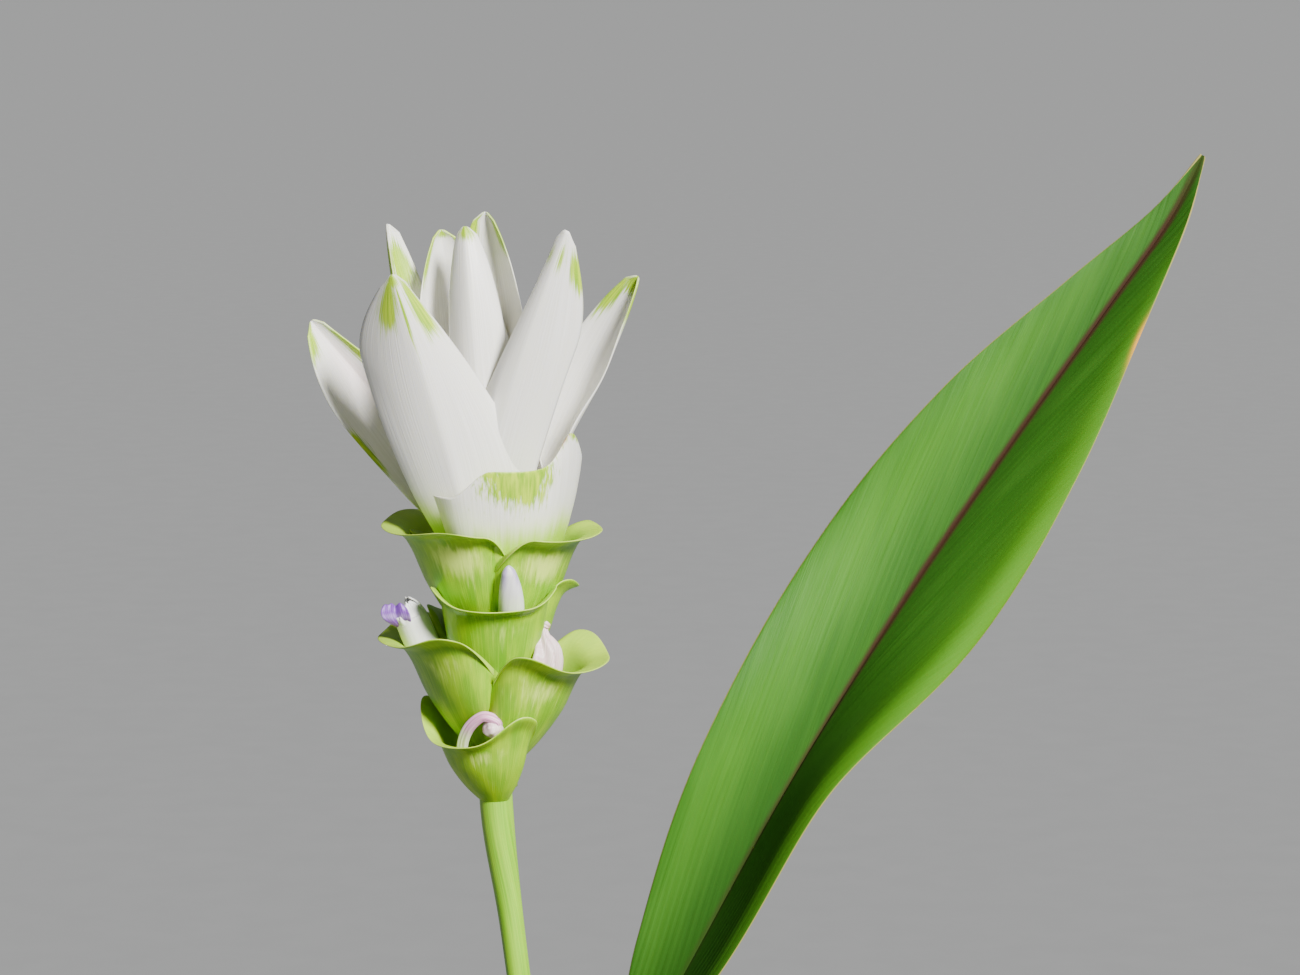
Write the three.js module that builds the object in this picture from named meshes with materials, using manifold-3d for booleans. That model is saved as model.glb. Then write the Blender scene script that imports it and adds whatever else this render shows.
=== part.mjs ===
// A white Siam tulip (Curcuma alismatifolia) in a plain clay pot, in millimetres, +Z up.
// The origin is the centre of the pot's flat base. -Y is the side that the flower spike's front bract faces.
// One flowering shoot: a stem with a spike of green pouch bracts, a crown of white bracts over them and
// four small florets in the pouches, three leaves whose sheaths nest round the stem, and a rhizome.
import * as THREE from "three";
import { mergeVertices } from "three/addons/utils/BufferGeometryUtils.js";
import Module from "manifold-3d";

const wasm = await Module();
wasm.setup();

// Driving dimensions
const GAP = 0.3; // clearance between separate pieces
const OVERRUN = 1; // how far a cut runs past the face that it goes through
const FUSE_TOLERANCE = 0.06; // how far merging a fused body's smallest facets may move its surface
const RAD = Math.PI / 180;

const POT = {
  height: 106,
  baseRadius: 43,
  topRadius: 57,
  wall: 4.6,
  floor: 5,
  rimHeight: 22,
  rimStep: 3.4,
  edge: 1.2,
  segments: 40,
};
const DRAIN = { holes: 4, radius: 3, circle: 20, sides: 12 };
const SOIL = { top: 93, relief: 1.3, lump: 22, hole: 8.6, rootDepth: 42, segments: 36, rings: 6 };
// The rhizome is a stretch of a spindle: from and to are the shares of the spindle where it is cut off.
const RHIZOME = {
  radius: 8.1,
  bottom: 42.3,
  top: 62,
  from: 0.08,
  to: 0.9,
  fullness: 0.6,
  sides: 14,
  steps: 8,
};

// The stem's centre line, from the rhizome to the foot of the spike, then up inside it.
const STEM = {
  route: [
    [0, 0, 62.3],
    [0, 0, 110],
    [-0.2, 0, 160],
    [-5, 0, 200],
    [-9.9, 0, 240],
    [-13.4, 0, 270],
    [-13.5, 0, 304],
    [-13.9, 0, 328],
  ],
  radii: [3.1, 2.9, 2.8, 2.7, 2.75, 3.7, 2.6, 1.7],
  sides: 10,
  steps: 14,
};

// The spike, whose top bends a little to the left. Heights in it are counted from its foot.
const SPIKE = { foot: [-13.4, 0, 270], height: 127, bend: -5.5 };

// Green pouch bracts, from the lowest up, two fifths of a turn apart with each one's own small turn.
// z0 and tip are the heights where a pouch leaves the stem and where its lip ends.
// reach is the lip's radius, and crest lifts the lip on both sides of its tip.
// belly and mouth are the angles from the midrib, low and high on the wall, where it closes on the stem.
// fall is the angle from which the lip drops into the seam with the next pouch.
// ear holds what differs on a pouch's left side: the lowest one's stands up there, broad and round.
const PHYLLOTAXY = 144;
const FIRST_POUCH = -116;
const POUCHES = [
  {
    turn: -6,
    z0: -0.6,
    tip: 13.8,
    reach: 16.6,
    crest: 7.3,
    crestAt: 58,
    crestWidth: 27,
    belly: 84,
    mouth: 86,
    fall: 70,
    ear: { crest: 8.6, crestAt: 70, crestWidth: 30, belly: 92, mouth: 108, fall: 96 },
  },
  { turn: 34, z0: 6, tip: 22, reach: 16, crest: 3, belly: 90, mouth: 74, fall: 56 },
  { turn: 20, z0: 9, tip: 36.3, reach: 25.5, crest: 3, belly: 96, mouth: 76, fall: 60 },
  { turn: 24, z0: 6.5, tip: 31, reach: 25.2, crest: 4.6, belly: 92, mouth: 68, fall: 54 },
  { turn: 0, z0: 14, tip: 39, reach: 18, crest: 3, belly: 96, mouth: 74, fall: 56 },
  { turn: 30, z0: 19, tip: 44.8, reach: 19, crest: 4.4, belly: 92, mouth: 68, fall: 60 },
  { turn: 4, z0: 23, tip: 46.8, reach: 18.8, crest: 3, belly: 96, mouth: 74, fall: 56 },
  { turn: 26, z0: 33, tip: 61.2, reach: 24.4, crest: 1.2, belly: 98, mouth: 88, fall: 70 },
  { turn: 24, z0: 32, tip: 59.8, reach: 24.5, crest: 1.4, belly: 90, mouth: 66, fall: 44 },
  { turn: 6, z0: 35, tip: 57, reach: 21.5, crest: 3, belly: 96, mouth: 76, fall: 60 },
];
// The pouch wall's own outline, as shares of its reach and of its rise, from the stem to the lip.
const POUCH_WALL = [
  [0, 0],
  [0.27, 0.24],
  [0.52, 0.54],
  [0.68, 0.83],
  [0.8, 0.955],
  [1, 1],
];
const POUCH = {
  stemRadius: 3.2,
  halfSpan: 96,
  closing: 8, // the higher, the more suddenly the wall turns in at its seams
  crestAt: 52,
  crestWidth: 17,
  plunge: 9,
  plungeSpan: 28,
  peak: 0,
  peakWidth: 17,
  thickness: 0.8,
  rows: 5,
  cols: 12,
};
const COLLAR = { from: 2.5, to: 36.8, wall: 0.9, steps: 6 };

// The lowest white bract is a pouch too, with an upright wall and a tall point that turns to the right.
const FRONT_WALL = [
  [0, 0],
  [0.35, 0.2],
  [0.66, 0.46],
  [0.86, 0.72],
  [0.96, 0.9],
  [1, 1],
];
const FRONT_POUCH = {
  azimuth: -22,
  z0: 37.7,
  tip: 75.5,
  reach: 20.3,
  crest: 0,
  belly: 112,
  mouth: 122,
  fall: 64,
  plunge: 6,
  peak: 7,
  halfSpan: 106,
  ear: { belly: 120, mouth: 140 },
};

// White bracts of the crown. Each midrib runs from the stem, at azimuth and at height base, by the knee to
// the tip, which are given as the distance out, the distance round the spike and the height.
// half is the blade's greatest half width, and widest is the share of its length where that lies.
// waist is the half width at the stem as a share of half. What isn't given is in BLADE.
// skew moves the widest place down on one half of the blade and up on the other one.
// blunt rounds the blade's point, and twist turns the blade about its midrib.
const CROWN = {
  farLeft: {
    azimuth: 138,
    base: 43,
    knee: [11.2, -7.9, 64.7],
    tip: [38.6, 15.9, 105],
    half: 11,
    skew: -0.26,
    blunt: 0.4,
    twist: -34,
  },
  farRight: {
    azimuth: 27,
    base: 48.5,
    knee: [17.9, 6.7, 75.5],
    tip: [37.1, -10.1, 115.3],
    half: 8.2,
    waist: 0.55,
    widest: 0.66,
    blunt: 0.4,
    twist: 6,
  },
  frontLeft: {
    azimuth: -101,
    base: 41,
    knee: [16, -0.7, 61.9],
    tip: [23.5, -12.4, 117.8],
    half: 14.7,
    widest: 0.66,
    skew: 0.18,
    blunt: 0.25,
    twist: 6,
  },
  frontRight: {
    azimuth: -85.7,
    base: 45.6,
    knee: [8.9, -9.9, 66.3],
    tip: [21, 20.7, 127.1],
    half: 9.9,
    widest: 0.49,
    skew: -0.32,
    blunt: 0.2,
    twist: -21,
  },
  left: { azimuth: 150, base: 46, knee: [13, 7.5, 83], tip: [23, 0, 126.6], half: 8.6, blunt: 0.5 },
  backLow: { azimuth: 60, base: 42, knee: [12, 0, 62], tip: [19, 0, 80], half: 12 },
  back: { azimuth: 95, base: 44, knee: [12, 0, 75], tip: [25, 0, 108], half: 12, blunt: 0.1 },
  backRight: { azimuth: 48, base: 46, knee: [10, 0, 80], tip: [25, 0, 110], half: 11, blunt: 0.1 },
  backLeft: { azimuth: 126, base: 46, knee: [12, 0, 80], tip: [27, 0, 105], half: 11, blunt: 0.1 },
  innerRight: { azimuth: 62, base: 48, knee: [12, 0, 90], tip: [10.5, 0, 129.5], half: 10, blunt: 0.6 },
  innerLeft: { azimuth: 112, base: 48, knee: [12, 2, 90], tip: [11.5, 3, 125.6], half: 11, blunt: 0.8 },
  innerFront: { azimuth: -100, base: 48, knee: [13, 1, 88], tip: [4.5, 0, 127], half: 7.4, blunt: 0.9 },
};
const BLADE = {
  stemRadius: 3,
  waist: 0.34,
  widest: 0.5,
  taper: 1.7,
  point: 1.1, // the higher, the finer the point, and blunting takes up to bluntness off it
  bluntness: 0.8,
  tipWidth: 0.35,
  cupBase: 1.3, // how far, in radians, a half of the blade curves in
  cupMiddle: 0.75,
  cupTip: 1.1,
  keel: 0.16,
  hook: 2, // how far the tip turns in, more suddenly the higher hookPower is
  hookPower: 8,
  thickness: 0.75,
  rows: 8,
  colWidth: 5.5,
};
// The crown's solid heart, which the white bracts grow from.
const HEART = { from: 37.3, to: 74, radius: 4.6, topRadius: 1.2, sides: 12, steps: 5 };

// Florets, in spike coordinates. The routes run from inside the pouch outwards.
const BUD = {
  route: [
    [4.4, -9, 32],
    [4.9, -14, 44.2],
    [4.2, -18, 54.8],
  ],
  radii: [2.2, 2.8, 0.9],
};
const OPEN_FLORET = {
  tube: [
    [-12.6, -2.6, 27],
    [-15.2, -3.2, 33.7],
    [-18.3, -3.9, 41.6],
  ],
  radii: [2.9, 3.8, 3.7],
  throat: 5,
  throatRadius: 2.4,
  // Upright lobes on the far side of the mouth, rooted below it. turn is in degrees and halfAngle in radians.
  lobes: [
    { turn: 52, halfAngle: 1.2, inward: 0.5, rise: 3.4 },
    { turn: -52, halfAngle: 1.2, inward: 0.9, rise: 3 },
  ],
  lobeRoot: -1.5,
  lobeTaper: 0.7,
  // The lip's outline beside the tube, from its root to its edge, as distance out and height above the mouth.
  lip: {
    out: [3, 4.9, 5.2, 3.6],
    rise: [-1, 0.6, 3.2, 5.2],
    halfAngle: 0.75,
    taper: 0.5,
  },
};
const FADED_FLORET = {
  route: [
    [8.6, -4.2, 23],
    [11, -5, 30],
    [11.6, -5, 35],
    [11.2, -4.6, 39.4],
  ],
  radii: [2.8, 4.2, 3.1, 0.8],
  pleats: 5,
  pleatDepth: 0.16,
  sidesPerPleat: 4,
  twist: 2, // the pleats wind round by this many sides
};
const CURLED_FLORET = {
  route: [
    [-6.4, -9.2, 6],
    [-7.2, -12.2, 12.5],
    [-5.4, -14.2, 18.2],
    [-1.8, -14.8, 21],
    [0.9, -14.4, 19],
    [0.2, -13.6, 15.4],
  ],
  radii: [1.1, 1.3, 1.5, 1.4, 1.7, 1.1],
};
const FLORET = { sides: 8, steps: 7, lobeThickness: 0.7, lobeRows: 5, lobeCols: 4 };

// Leaves. Each row is a station on the midrib: x, y and z, the half width along the surface,
// and then angles in degrees: the azimuth that the upper side faces, how steeply both halves rise from the
// midrib, how far each half curls over, and how far its right margin rolls back.
// The first rows of a leaf are its sheath, which curls round the stem.
// lift leans the upper side towards the sky, and wave is the height of the waves in the margin.
const SHEATH_CURL = 166;
const LEAVES = {
  leaf_main: {
    lift: 0.35,
    wave: 0.5,
    stations: [
      [3.38, 1.95, 62.3, 11.3, 210, 0, SHEATH_CURL, 0],
      [3.38, 1.95, 100, 11.3, 210, 0, SHEATH_CURL, 0],
      [3.38, 1.95, 146, 11.3, 210, 0, SHEATH_CURL, 0],
      [3.6, 2.08, 166, 9, 208, 0, 116, 0],
      [9, 4.2, 188, 7.5, 215, 20, 60, 0],
      [19, 7.2, 209, 7, 222, 26, 25, 15],
      [30, 10, 228.6, 13.8, 230, 24, 10, 30],
      [53.9, 23.9, 268.8, 23, 239, 41, 6, 38],
      [81.1, 37.6, 309.7, 24.6, 250, 22, 6, 70],
      [105.3, 48.7, 343, 21, 254, 23, 6, 30],
      [127.4, 58.2, 372.3, 12, 254, 22, 6, 20],
      [143, 65, 393.2, 5.2, 254, 18, 6, 5],
      [151.6, 70, 408.9, 0.5, 254, 10, 0, 0],
    ],
  },
  leaf_second: {
    lift: 0.9,
    wave: 0.9,
    stations: [
      [-4.5, -2.39, 62.3, 14.8, 28, 0, SHEATH_CURL, 0],
      [-4.5, -2.39, 100, 14.8, 28, 0, SHEATH_CURL, 0],
      [-4.5, -2.39, 126, 14.8, 28, 0, SHEATH_CURL, 0],
      [-6, -3.2, 147, 11.5, 28, 5, 110, 0],
      [-18, -8.6, 172, 8, 28, 30, 40, 5],
      [-40, -17, 195, 14, 28, 28, 10, 15],
      [-67, -26, 208, 15.5, 28, 20, 8, 20],
      [-88, -33, 208, 8.5, 28, 16, 6, 10],
      [-101, -38, 201, 0.5, 28, 10, 0, 0],
    ],
  },
  leaf_third: {
    lift: 0.9,
    wave: 0.9,
    stations: [
      [5.76, 2.56, 62.3, 18.3, 204, 0, SHEATH_CURL, 0],
      [5.76, 2.56, 92, 18.3, 204, 0, SHEATH_CURL, 0],
      [5.76, 2.56, 118, 18.3, 204, 0, SHEATH_CURL, 0],
      [7.6, 3.4, 136, 13, 204, 5, 100, 0],
      [22, 9, 155, 9, 204, 28, 40, 5],
      [48, 17.5, 175, 15, 204, 26, 10, 15],
      [76, 26, 184, 16, 204, 20, 8, 20],
      [96, 33, 180, 8.5, 204, 16, 6, 10],
      [108, 37, 171, 0.5, 204, 10, 0, 0],
    ],
  },
  basal_sheath: {
    lift: 0,
    wave: 0,
    stations: [
      [-6.85, -3.05, 62.3, 21.8, 24, 0, SHEATH_CURL, 0],
      [-6.85, -3.05, 80, 21.8, 24, 0, SHEATH_CURL, 0],
      [-6.9, -3.08, 98, 21, 24, 0, 158, 0],
      [-7.4, -3.3, 110, 13, 24, 0, 98, 0],
      [-8.4, -3.75, 119, 1.2, 24, 0, 10, 0],
    ],
  },
};
const LEAF = {
  thickness: 0.7,
  tipWidth: 0.4,
  rollFrom: 0.7, // the share of the half width where the margin starts to roll back
  leftRoll: 0.3, // the left margin's roll as a share of the right one's
  waves: 5,
  waveFrom: 0.5, // the share of the length where the waves start
  waveEdge: 4, // the higher, the nearer the waves keep to the margin
  waveSkew: 1.3, // how far the two margins' waves are out of step, in radians
  sectionSteps: 12,
  rowsPerStation: 2,
  cols: 12,
};

const materials = {
  clay: new THREE.MeshStandardMaterial({ color: 0xb5684a, roughness: 0.9 }),
  soil: new THREE.MeshStandardMaterial({ color: 0x2b1d14, roughness: 1 }),
  rhizome: new THREE.MeshStandardMaterial({ color: 0xb08a5a, roughness: 0.8 }),
  stem: new THREE.MeshStandardMaterial({ color: 0x7fb52e, roughness: 0.45 }),
  leaf: new THREE.MeshStandardMaterial({ color: 0x3f8a2c, roughness: 0.4 }),
  sheath: new THREE.MeshStandardMaterial({ color: 0x8fae55, roughness: 0.5 }),
  green_bract: new THREE.MeshStandardMaterial({ color: 0x93c22c, roughness: 0.45 }),
  white_bract: new THREE.MeshStandardMaterial({ color: 0xf2f1ec, roughness: 0.5 }),
  floret: new THREE.MeshStandardMaterial({ color: 0xe9dff0, roughness: 0.5 }),
};

// Small maths
const mix = (a, b, t) => a + (b - a) * t;
const clamp01 = (t) => Math.min(1, Math.max(0, t));
const smooth = (t) => clamp01(t) ** 2 * (3 - 2 * clamp01(t));
const vec = (p) => new THREE.Vector3(...p);

// A point on the smooth line through points of one or more values each, t from 0 to 1.
function along(points, t) {
  const last = points.length - 1;
  const at = clamp01(t) * last;
  const i = Math.min(Math.floor(at), last - 1);
  const f = at - i;
  const [a, b, c, d] = [i - 1, i, i + 1, i + 2].map((k) => points[Math.min(Math.max(k, 0), last)]);
  const one = (p, q, r, s) =>
    0.5 * (2 * q + (r - p) * f + (2 * p - 5 * q + 4 * r - s) * f * f + (3 * q - p - 3 * r + s) * f ** 3);
  return Array.isArray(b) ? b.map((_, k) => one(a[k], b[k], c[k], d[k])) : one(a, b, c, d);
}

// Spike coordinates to the part's frame.
function onSpike([x, y, z]) {
  const bend = SPIKE.bend * Math.max(z / SPIKE.height, 0) ** 3;
  return vec(SPIKE.foot).add(new THREE.Vector3(x + bend, y, z));
}

// A closed solid from vertices and triangles, turned to face out.
function solidOf(vertices, triangles) {
  const build = (tris) =>
    new wasm.Manifold(
      new wasm.Mesh({
        numProp: 3,
        vertProperties: new Float32Array(vertices.flatMap((p) => [p.x, p.y, p.z])),
        triVerts: new Uint32Array(tris.flat()),
      }),
    );
  const made = build(triangles);
  return made.volume() > 0 ? made : build(triangles.map(([a, b, c]) => [a, c, b]));
}

// A closed three.js geometry as a solid.
function solidOfGeometry(geometry) {
  const bare = geometry.clone();
  bare.deleteAttribute("normal");
  bare.deleteAttribute("uv");
  const merged = mergeVertices(bare, 1e-4);
  const p = merged.attributes.position;
  const vertices = Array.from({ length: p.count }, (_, i) => new THREE.Vector3().fromBufferAttribute(p, i));
  const index = Array.from(merged.index.array);
  const triangles = [];
  for (let i = 0; i < index.length; i += 3) {
    const [a, b, c] = index.slice(i, i + 3);
    if (a !== b && b !== c && a !== c) triangles.push([a, b, c]);
  }
  return solidOf(vertices, triangles);
}

// The largest body of a solid, with what fusing has sealed inside it filled and its smallest facets merged.
function oneBody(solid) {
  const bodies = solid.asOriginal().simplify(FUSE_TOLERANCE).decompose();
  return bodies.reduce((best, s) => (s.volume() > best.volume() ? s : best));
}

function meshOf(solid, name, material) {
  const m = solid.getMesh();
  const positions = new Float32Array(m.numVert * 3);
  for (let i = 0; i < m.numVert; i++) {
    positions.set(m.vertProperties.subarray(i * m.numProp, i * m.numProp + 3), i * 3);
  }
  const geometry = new THREE.BufferGeometry();
  geometry.setAttribute("position", new THREE.BufferAttribute(positions, 3));
  geometry.setIndex(new THREE.BufferAttribute(m.triVerts, 1));
  geometry.computeVertexNormals();
  const mesh = new THREE.Mesh(geometry, material);
  mesh.name = name;
  return mesh;
}

// A thin closed blade round the surface point(u, v), u and v from 0 to 1, thickness(u, v) thick.
// Both faces are split into triangles alike.
function blade(point, rows, cols, thickness) {
  const step = 1e-3;
  const faces = [[], []];
  for (let i = 0; i <= rows; i++) {
    for (let j = 0; j <= cols; j++) {
      const [u, v] = [i / rows, j / cols];
      const du = point(Math.min(u + step, 1), v).sub(point(Math.max(u - step, 0), v));
      const dv = point(u, Math.min(v + step, 1)).sub(point(u, Math.max(v - step, 0)));
      const half = du.cross(dv).setLength(thickness(u, v) / 2);
      faces[0].push(point(u, v).add(half));
      faces[1].push(point(u, v).sub(half));
    }
  }
  const count = faces[0].length;
  const id = (i, j) => i * (cols + 1) + j;
  const triangles = [];
  for (let i = 0; i < rows; i++) {
    for (let j = 0; j < cols; j++) {
      const [a, b, c, d] = [id(i, j), id(i, j + 1), id(i + 1, j + 1), id(i + 1, j)];
      triangles.push([a, b, c], [a, c, d]);
      triangles.push([a + count, c + count, b + count], [a + count, d + count, c + count]);
    }
  }
  const edge = (a, b) => triangles.push([a, a + count, b + count], [a, b + count, b]);
  for (let i = 0; i < rows; i++) {
    edge(id(i + 1, 0), id(i, 0));
    edge(id(i, cols), id(i + 1, cols));
  }
  for (let j = 0; j < cols; j++) {
    edge(id(0, j), id(0, j + 1));
    edge(id(rows, j + 1), id(rows, j));
  }
  return solidOf([...faces[0], ...faces[1]], triangles);
}

// A round stem along a route, closed at both ends. radius(t, k) is its radius at side k.
function roundStem(route, radius, sides, steps) {
  const vertices = [];
  const triangles = [];
  for (let i = 0; i <= steps; i++) {
    const t = i / steps;
    const centre = vec(along(route, t));
    const tangent = vec(along(route, Math.min(t + 0.01, 1))).sub(vec(along(route, Math.max(t - 0.01, 0))));
    tangent.normalize();
    const side = new THREE.Vector3(0, 1, 0).cross(tangent).normalize();
    const front = tangent.clone().cross(side);
    for (let k = 0; k < sides; k++) {
      const a = (2 * Math.PI * k) / sides;
      const r = radius(t, k);
      vertices.push(
        centre
          .clone()
          .addScaledVector(side, r * Math.cos(a))
          .addScaledVector(front, r * Math.sin(a)),
      );
    }
  }
  for (let i = 0; i < steps; i++) {
    for (let k = 0; k < sides; k++) {
      const [a, b] = [i * sides + k, i * sides + ((k + 1) % sides)];
      triangles.push([a, b, b + sides], [a, b + sides, a + sides]);
    }
  }
  const top = steps * sides;
  for (let k = 1; k < sides - 1; k++) {
    triangles.push([0, k + 1, k], [top, top + k, top + k + 1]);
  }
  return solidOf(vertices, triangles);
}

// Pot

function pot() {
  const { height, baseRadius, topRadius, wall, floor, rimHeight, rimStep, edge, segments } = POT;
  const outer = (z) => mix(baseRadius, topRadius, z / height);
  const profile = [
    [0, 0],
    [baseRadius - edge, 0],
    [outer(edge), edge],
    [outer(height - rimHeight), height - rimHeight],
    [outer(height - rimHeight) + rimStep, height - rimHeight + edge],
    [topRadius + rimStep, height - edge],
    [topRadius + rimStep - edge, height],
    [topRadius - wall + edge, height],
    [topRadius - wall, height - edge],
    [outer(floor) - wall, floor],
    [0, floor],
  ].map(([r, z]) => new THREE.Vector2(r, z));
  let body = solidOfGeometry(new THREE.LatheGeometry(profile, segments).rotateX(Math.PI / 2));
  for (let k = 0; k < DRAIN.holes; k++) {
    const a = (2 * Math.PI * (k + 0.5)) / DRAIN.holes;
    const hole = new THREE.CylinderGeometry(DRAIN.radius, DRAIN.radius, floor + 2 * OVERRUN, DRAIN.sides)
      .rotateX(Math.PI / 2)
      .translate(DRAIN.circle * Math.cos(a), DRAIN.circle * Math.sin(a), floor / 2);
    body = body.subtract(solidOfGeometry(hole));
  }
  return meshOf(body, "pot", materials.clay);
}

// Soil, with a plain hole for the shoot

// The soil's low lumps at a point of its top, from -1 to 1: broad ones with some half their size across them.
function lumps(x, y) {
  const broad = (2 * Math.PI) / SOIL.lump;
  const fine = 2 * broad;
  return (Math.sin(broad * x + 1) * Math.cos(broad * y) + 0.6 * Math.sin(fine * x - broad * y)) / 1.6;
}

function soil() {
  const { height, baseRadius, topRadius, wall, floor } = POT;
  const inner = (z) => mix(baseRadius, topRadius, z / height) - wall - 2 * GAP;
  const bottom = floor + GAP;
  const profile = [
    new THREE.Vector2(0, bottom),
    new THREE.Vector2(inner(bottom), bottom),
  ];
  for (let k = 0; k <= SOIL.rings; k++) {
    profile.push(new THREE.Vector2(mix(inner(SOIL.top - SOIL.relief), SOIL.hole, k / SOIL.rings), SOIL.top));
  }
  profile.push(new THREE.Vector2(SOIL.hole, SOIL.rootDepth), new THREE.Vector2(0, SOIL.rootDepth));
  const geometry = new THREE.LatheGeometry(profile, SOIL.segments).rotateX(Math.PI / 2);
  const p = geometry.attributes.position;
  for (let i = 0; i < p.count; i++) {
    const onTop = p.getZ(i) > SOIL.top - GAP;
    if (onTop) p.setZ(i, SOIL.top + SOIL.relief * lumps(p.getX(i), p.getY(i)));
  }
  return meshOf(solidOfGeometry(geometry), "soil", materials.soil);
}

// Rhizome

function rhizome() {
  const { radius, bottom, top, from, to, fullness, sides, steps } = RHIZOME;
  const route = [
    [0, 0, bottom],
    [0, 0, top],
  ];
  const swell = (t) => radius * Math.sin(Math.PI * mix(from, to, t)) ** fullness;
  return meshOf(roundStem(route, swell, sides, steps), "rhizome", materials.rhizome);
}

// Stem

const stemRadius = (t) => along(STEM.radii, t);

// The stem, or with extra the hollow that clears it.
const stem = (extra = 0) => roundStem(STEM.route, (t) => stemRadius(t) + extra, STEM.sides, STEM.steps);

// Pouch bracts

// A point of a pouch: phi is the angle from its midrib in degrees, t runs from the stem to the lip.
function pouchPoint(bract, wall, azimuth, phi, t) {
  const form = { ...POUCH, ...bract, ...(phi < 0 ? bract.ear : null) };
  const [outward, upward] = along(wall, t);
  const off = Math.abs(phi);
  const close = mix(form.belly, form.mouth, smooth(t));
  const hug = 1 / (1 + (off / close) ** form.closing);
  const r = form.stemRadius + (form.reach - form.stemRadius) * outward * hug;
  const crest = form.crest * Math.exp(-(((off - form.crestAt) / form.crestWidth) ** 2));
  const peak = form.peak * Math.exp(-((phi / form.peakWidth) ** 2));
  const plunge = form.plunge * smooth((off - form.fall) / form.plungeSpan);
  const z = form.z0 + (form.tip - form.z0) * upward + (crest + peak - plunge) * t * t;
  const a = (azimuth + phi) * RAD;
  return onSpike([r * Math.cos(a), r * Math.sin(a), z]);
}

function pouch(bract, wall, azimuth, extra) {
  const span = bract.halfSpan ?? POUCH.halfSpan;
  const point = (u, v) => pouchPoint(bract, wall, azimuth, mix(-span, span, v), u);
  return blade(point, POUCH.rows, POUCH.cols, () => POUCH.thickness + extra);
}

function pouches(extra) {
  const turned = (bract, n) => FIRST_POUCH + PHYLLOTAXY * n + bract.turn;
  return wasm.Manifold.union(POUCHES.map((bract, n) => pouch(bract, POUCH_WALL, turned(bract, n), extra)));
}

// All pouches and the collar that they grow from, which the stem passes through.
function greenBracts() {
  const { from, to, wall, steps } = COLLAR;
  const top = STEM.route[STEM.route.length - 1][2] - SPIKE.foot[2];
  const footShare = (STEM.route.length - 3) / (STEM.route.length - 1);
  const route = [0, 0.25, 0.5, 0.75, 1].map((k) => onSpike([0, 0, mix(from, to, k)]).toArray());
  const radius = (t) => stemRadius(mix(footShare, 1, mix(from, to, t) / top)) + GAP + wall;
  const collar = roundStem(route, radius, STEM.sides, steps);
  return oneBody(pouches(0).add(collar).subtract(stem(GAP)));
}

// White bracts

// A point of a crown bract: t runs from the stem to the tip, v from one edge, -1, to the other, 1.
function crownPoint(bract, t, v) {
  const foot = [BLADE.stemRadius, 0, bract.base];
  const { knee, tip } = bract;
  const arc = (s) => foot.map((p, k) => (1 - s) ** 2 * p + 2 * s * (1 - s) * knee[k] + s * s * tip[k]);
  const a = bract.azimuth * RAD;
  const outward = new THREE.Vector3(Math.cos(a), Math.sin(a), 0);
  const round = new THREE.Vector3(-Math.sin(a), Math.cos(a), 0);
  const midrib = (s) => {
    const [out, sideways, z] = arc(s);
    const hooked = out - BLADE.hook * s ** BLADE.hookPower;
    return new THREE.Vector3(0, 0, z).addScaledVector(outward, hooked).addScaledVector(round, sideways);
  };
  const tangent = midrib(Math.min(t + 0.01, 1)).sub(midrib(Math.max(t - 0.01, 0))).normalize();
  const inward = outward.clone().negate();
  inward.addScaledVector(tangent, -inward.dot(tangent)).normalize();
  const across = inward.clone().cross(tangent).normalize();
  const turn = (bract.twist ?? 0) * smooth(2 * t) * RAD;
  inward.applyAxisAngle(tangent, turn);
  across.applyAxisAngle(tangent, turn);
  const { skew = 0, blunt = 0, waist = BLADE.waist } = bract;
  const widest = (bract.widest ?? BLADE.widest) - skew * v;
  const late = clamp01((t - widest) / (1 - widest));
  const shape =
    t < widest
      ? mix(waist, 1, smooth(t / widest))
      : (1 - late ** (BLADE.taper + blunt)) ** (BLADE.point - BLADE.bluntness * blunt);
  const half = Math.max(bract.half * shape, BLADE.tipWidth);
  const { cupBase, cupMiddle, cupTip } = BLADE;
  const cup = t < 0.5 ? mix(cupBase, cupMiddle, smooth(2 * t)) : mix(cupMiddle, cupTip, 2 * t - 1);
  const sideways = (half * Math.sin(cup * v)) / cup;
  const depth = (half * (1 - Math.cos(cup * v))) / cup + BLADE.keel * half * Math.abs(v);
  const p = midrib(t).addScaledVector(across, sideways).addScaledVector(inward, depth);
  return onSpike(p.toArray());
}

function whiteBracts() {
  const blades = Object.values(CROWN).map((bract) => {
    const cols = 2 * Math.round(bract.half / BLADE.colWidth);
    return blade((u, v) => crownPoint(bract, u, 2 * v - 1), BLADE.rows, cols, () => BLADE.thickness);
  });
  const { from, to, radius, topRadius, sides, steps } = HEART;
  const route = [0, 0.5, 1].map((k) => onSpike([0, 0, mix(from, to, k)]).toArray());
  const heart = roundStem(route, (t) => mix(radius, topRadius, t), sides, steps);
  const front = pouch(FRONT_POUCH, FRONT_WALL, FRONT_POUCH.azimuth, 0);
  const whole = wasm.Manifold.union([front, heart, ...blades]);
  return oneBody(whole.subtract(stem(GAP)).subtract(pouches(2 * GAP)));
}

// Florets

const spikeRoute = (route) => route.map((p) => onSpike(p).toArray());
const floretStem = (route, radii) =>
  roundStem(spikeRoute(route), (t) => along(radii, t), FLORET.sides, FLORET.steps);

// What is left of a floret beside the pouches that hold it.
const seated = (solid) => oneBody(solid.subtract(pouches(2 * GAP)));

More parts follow.
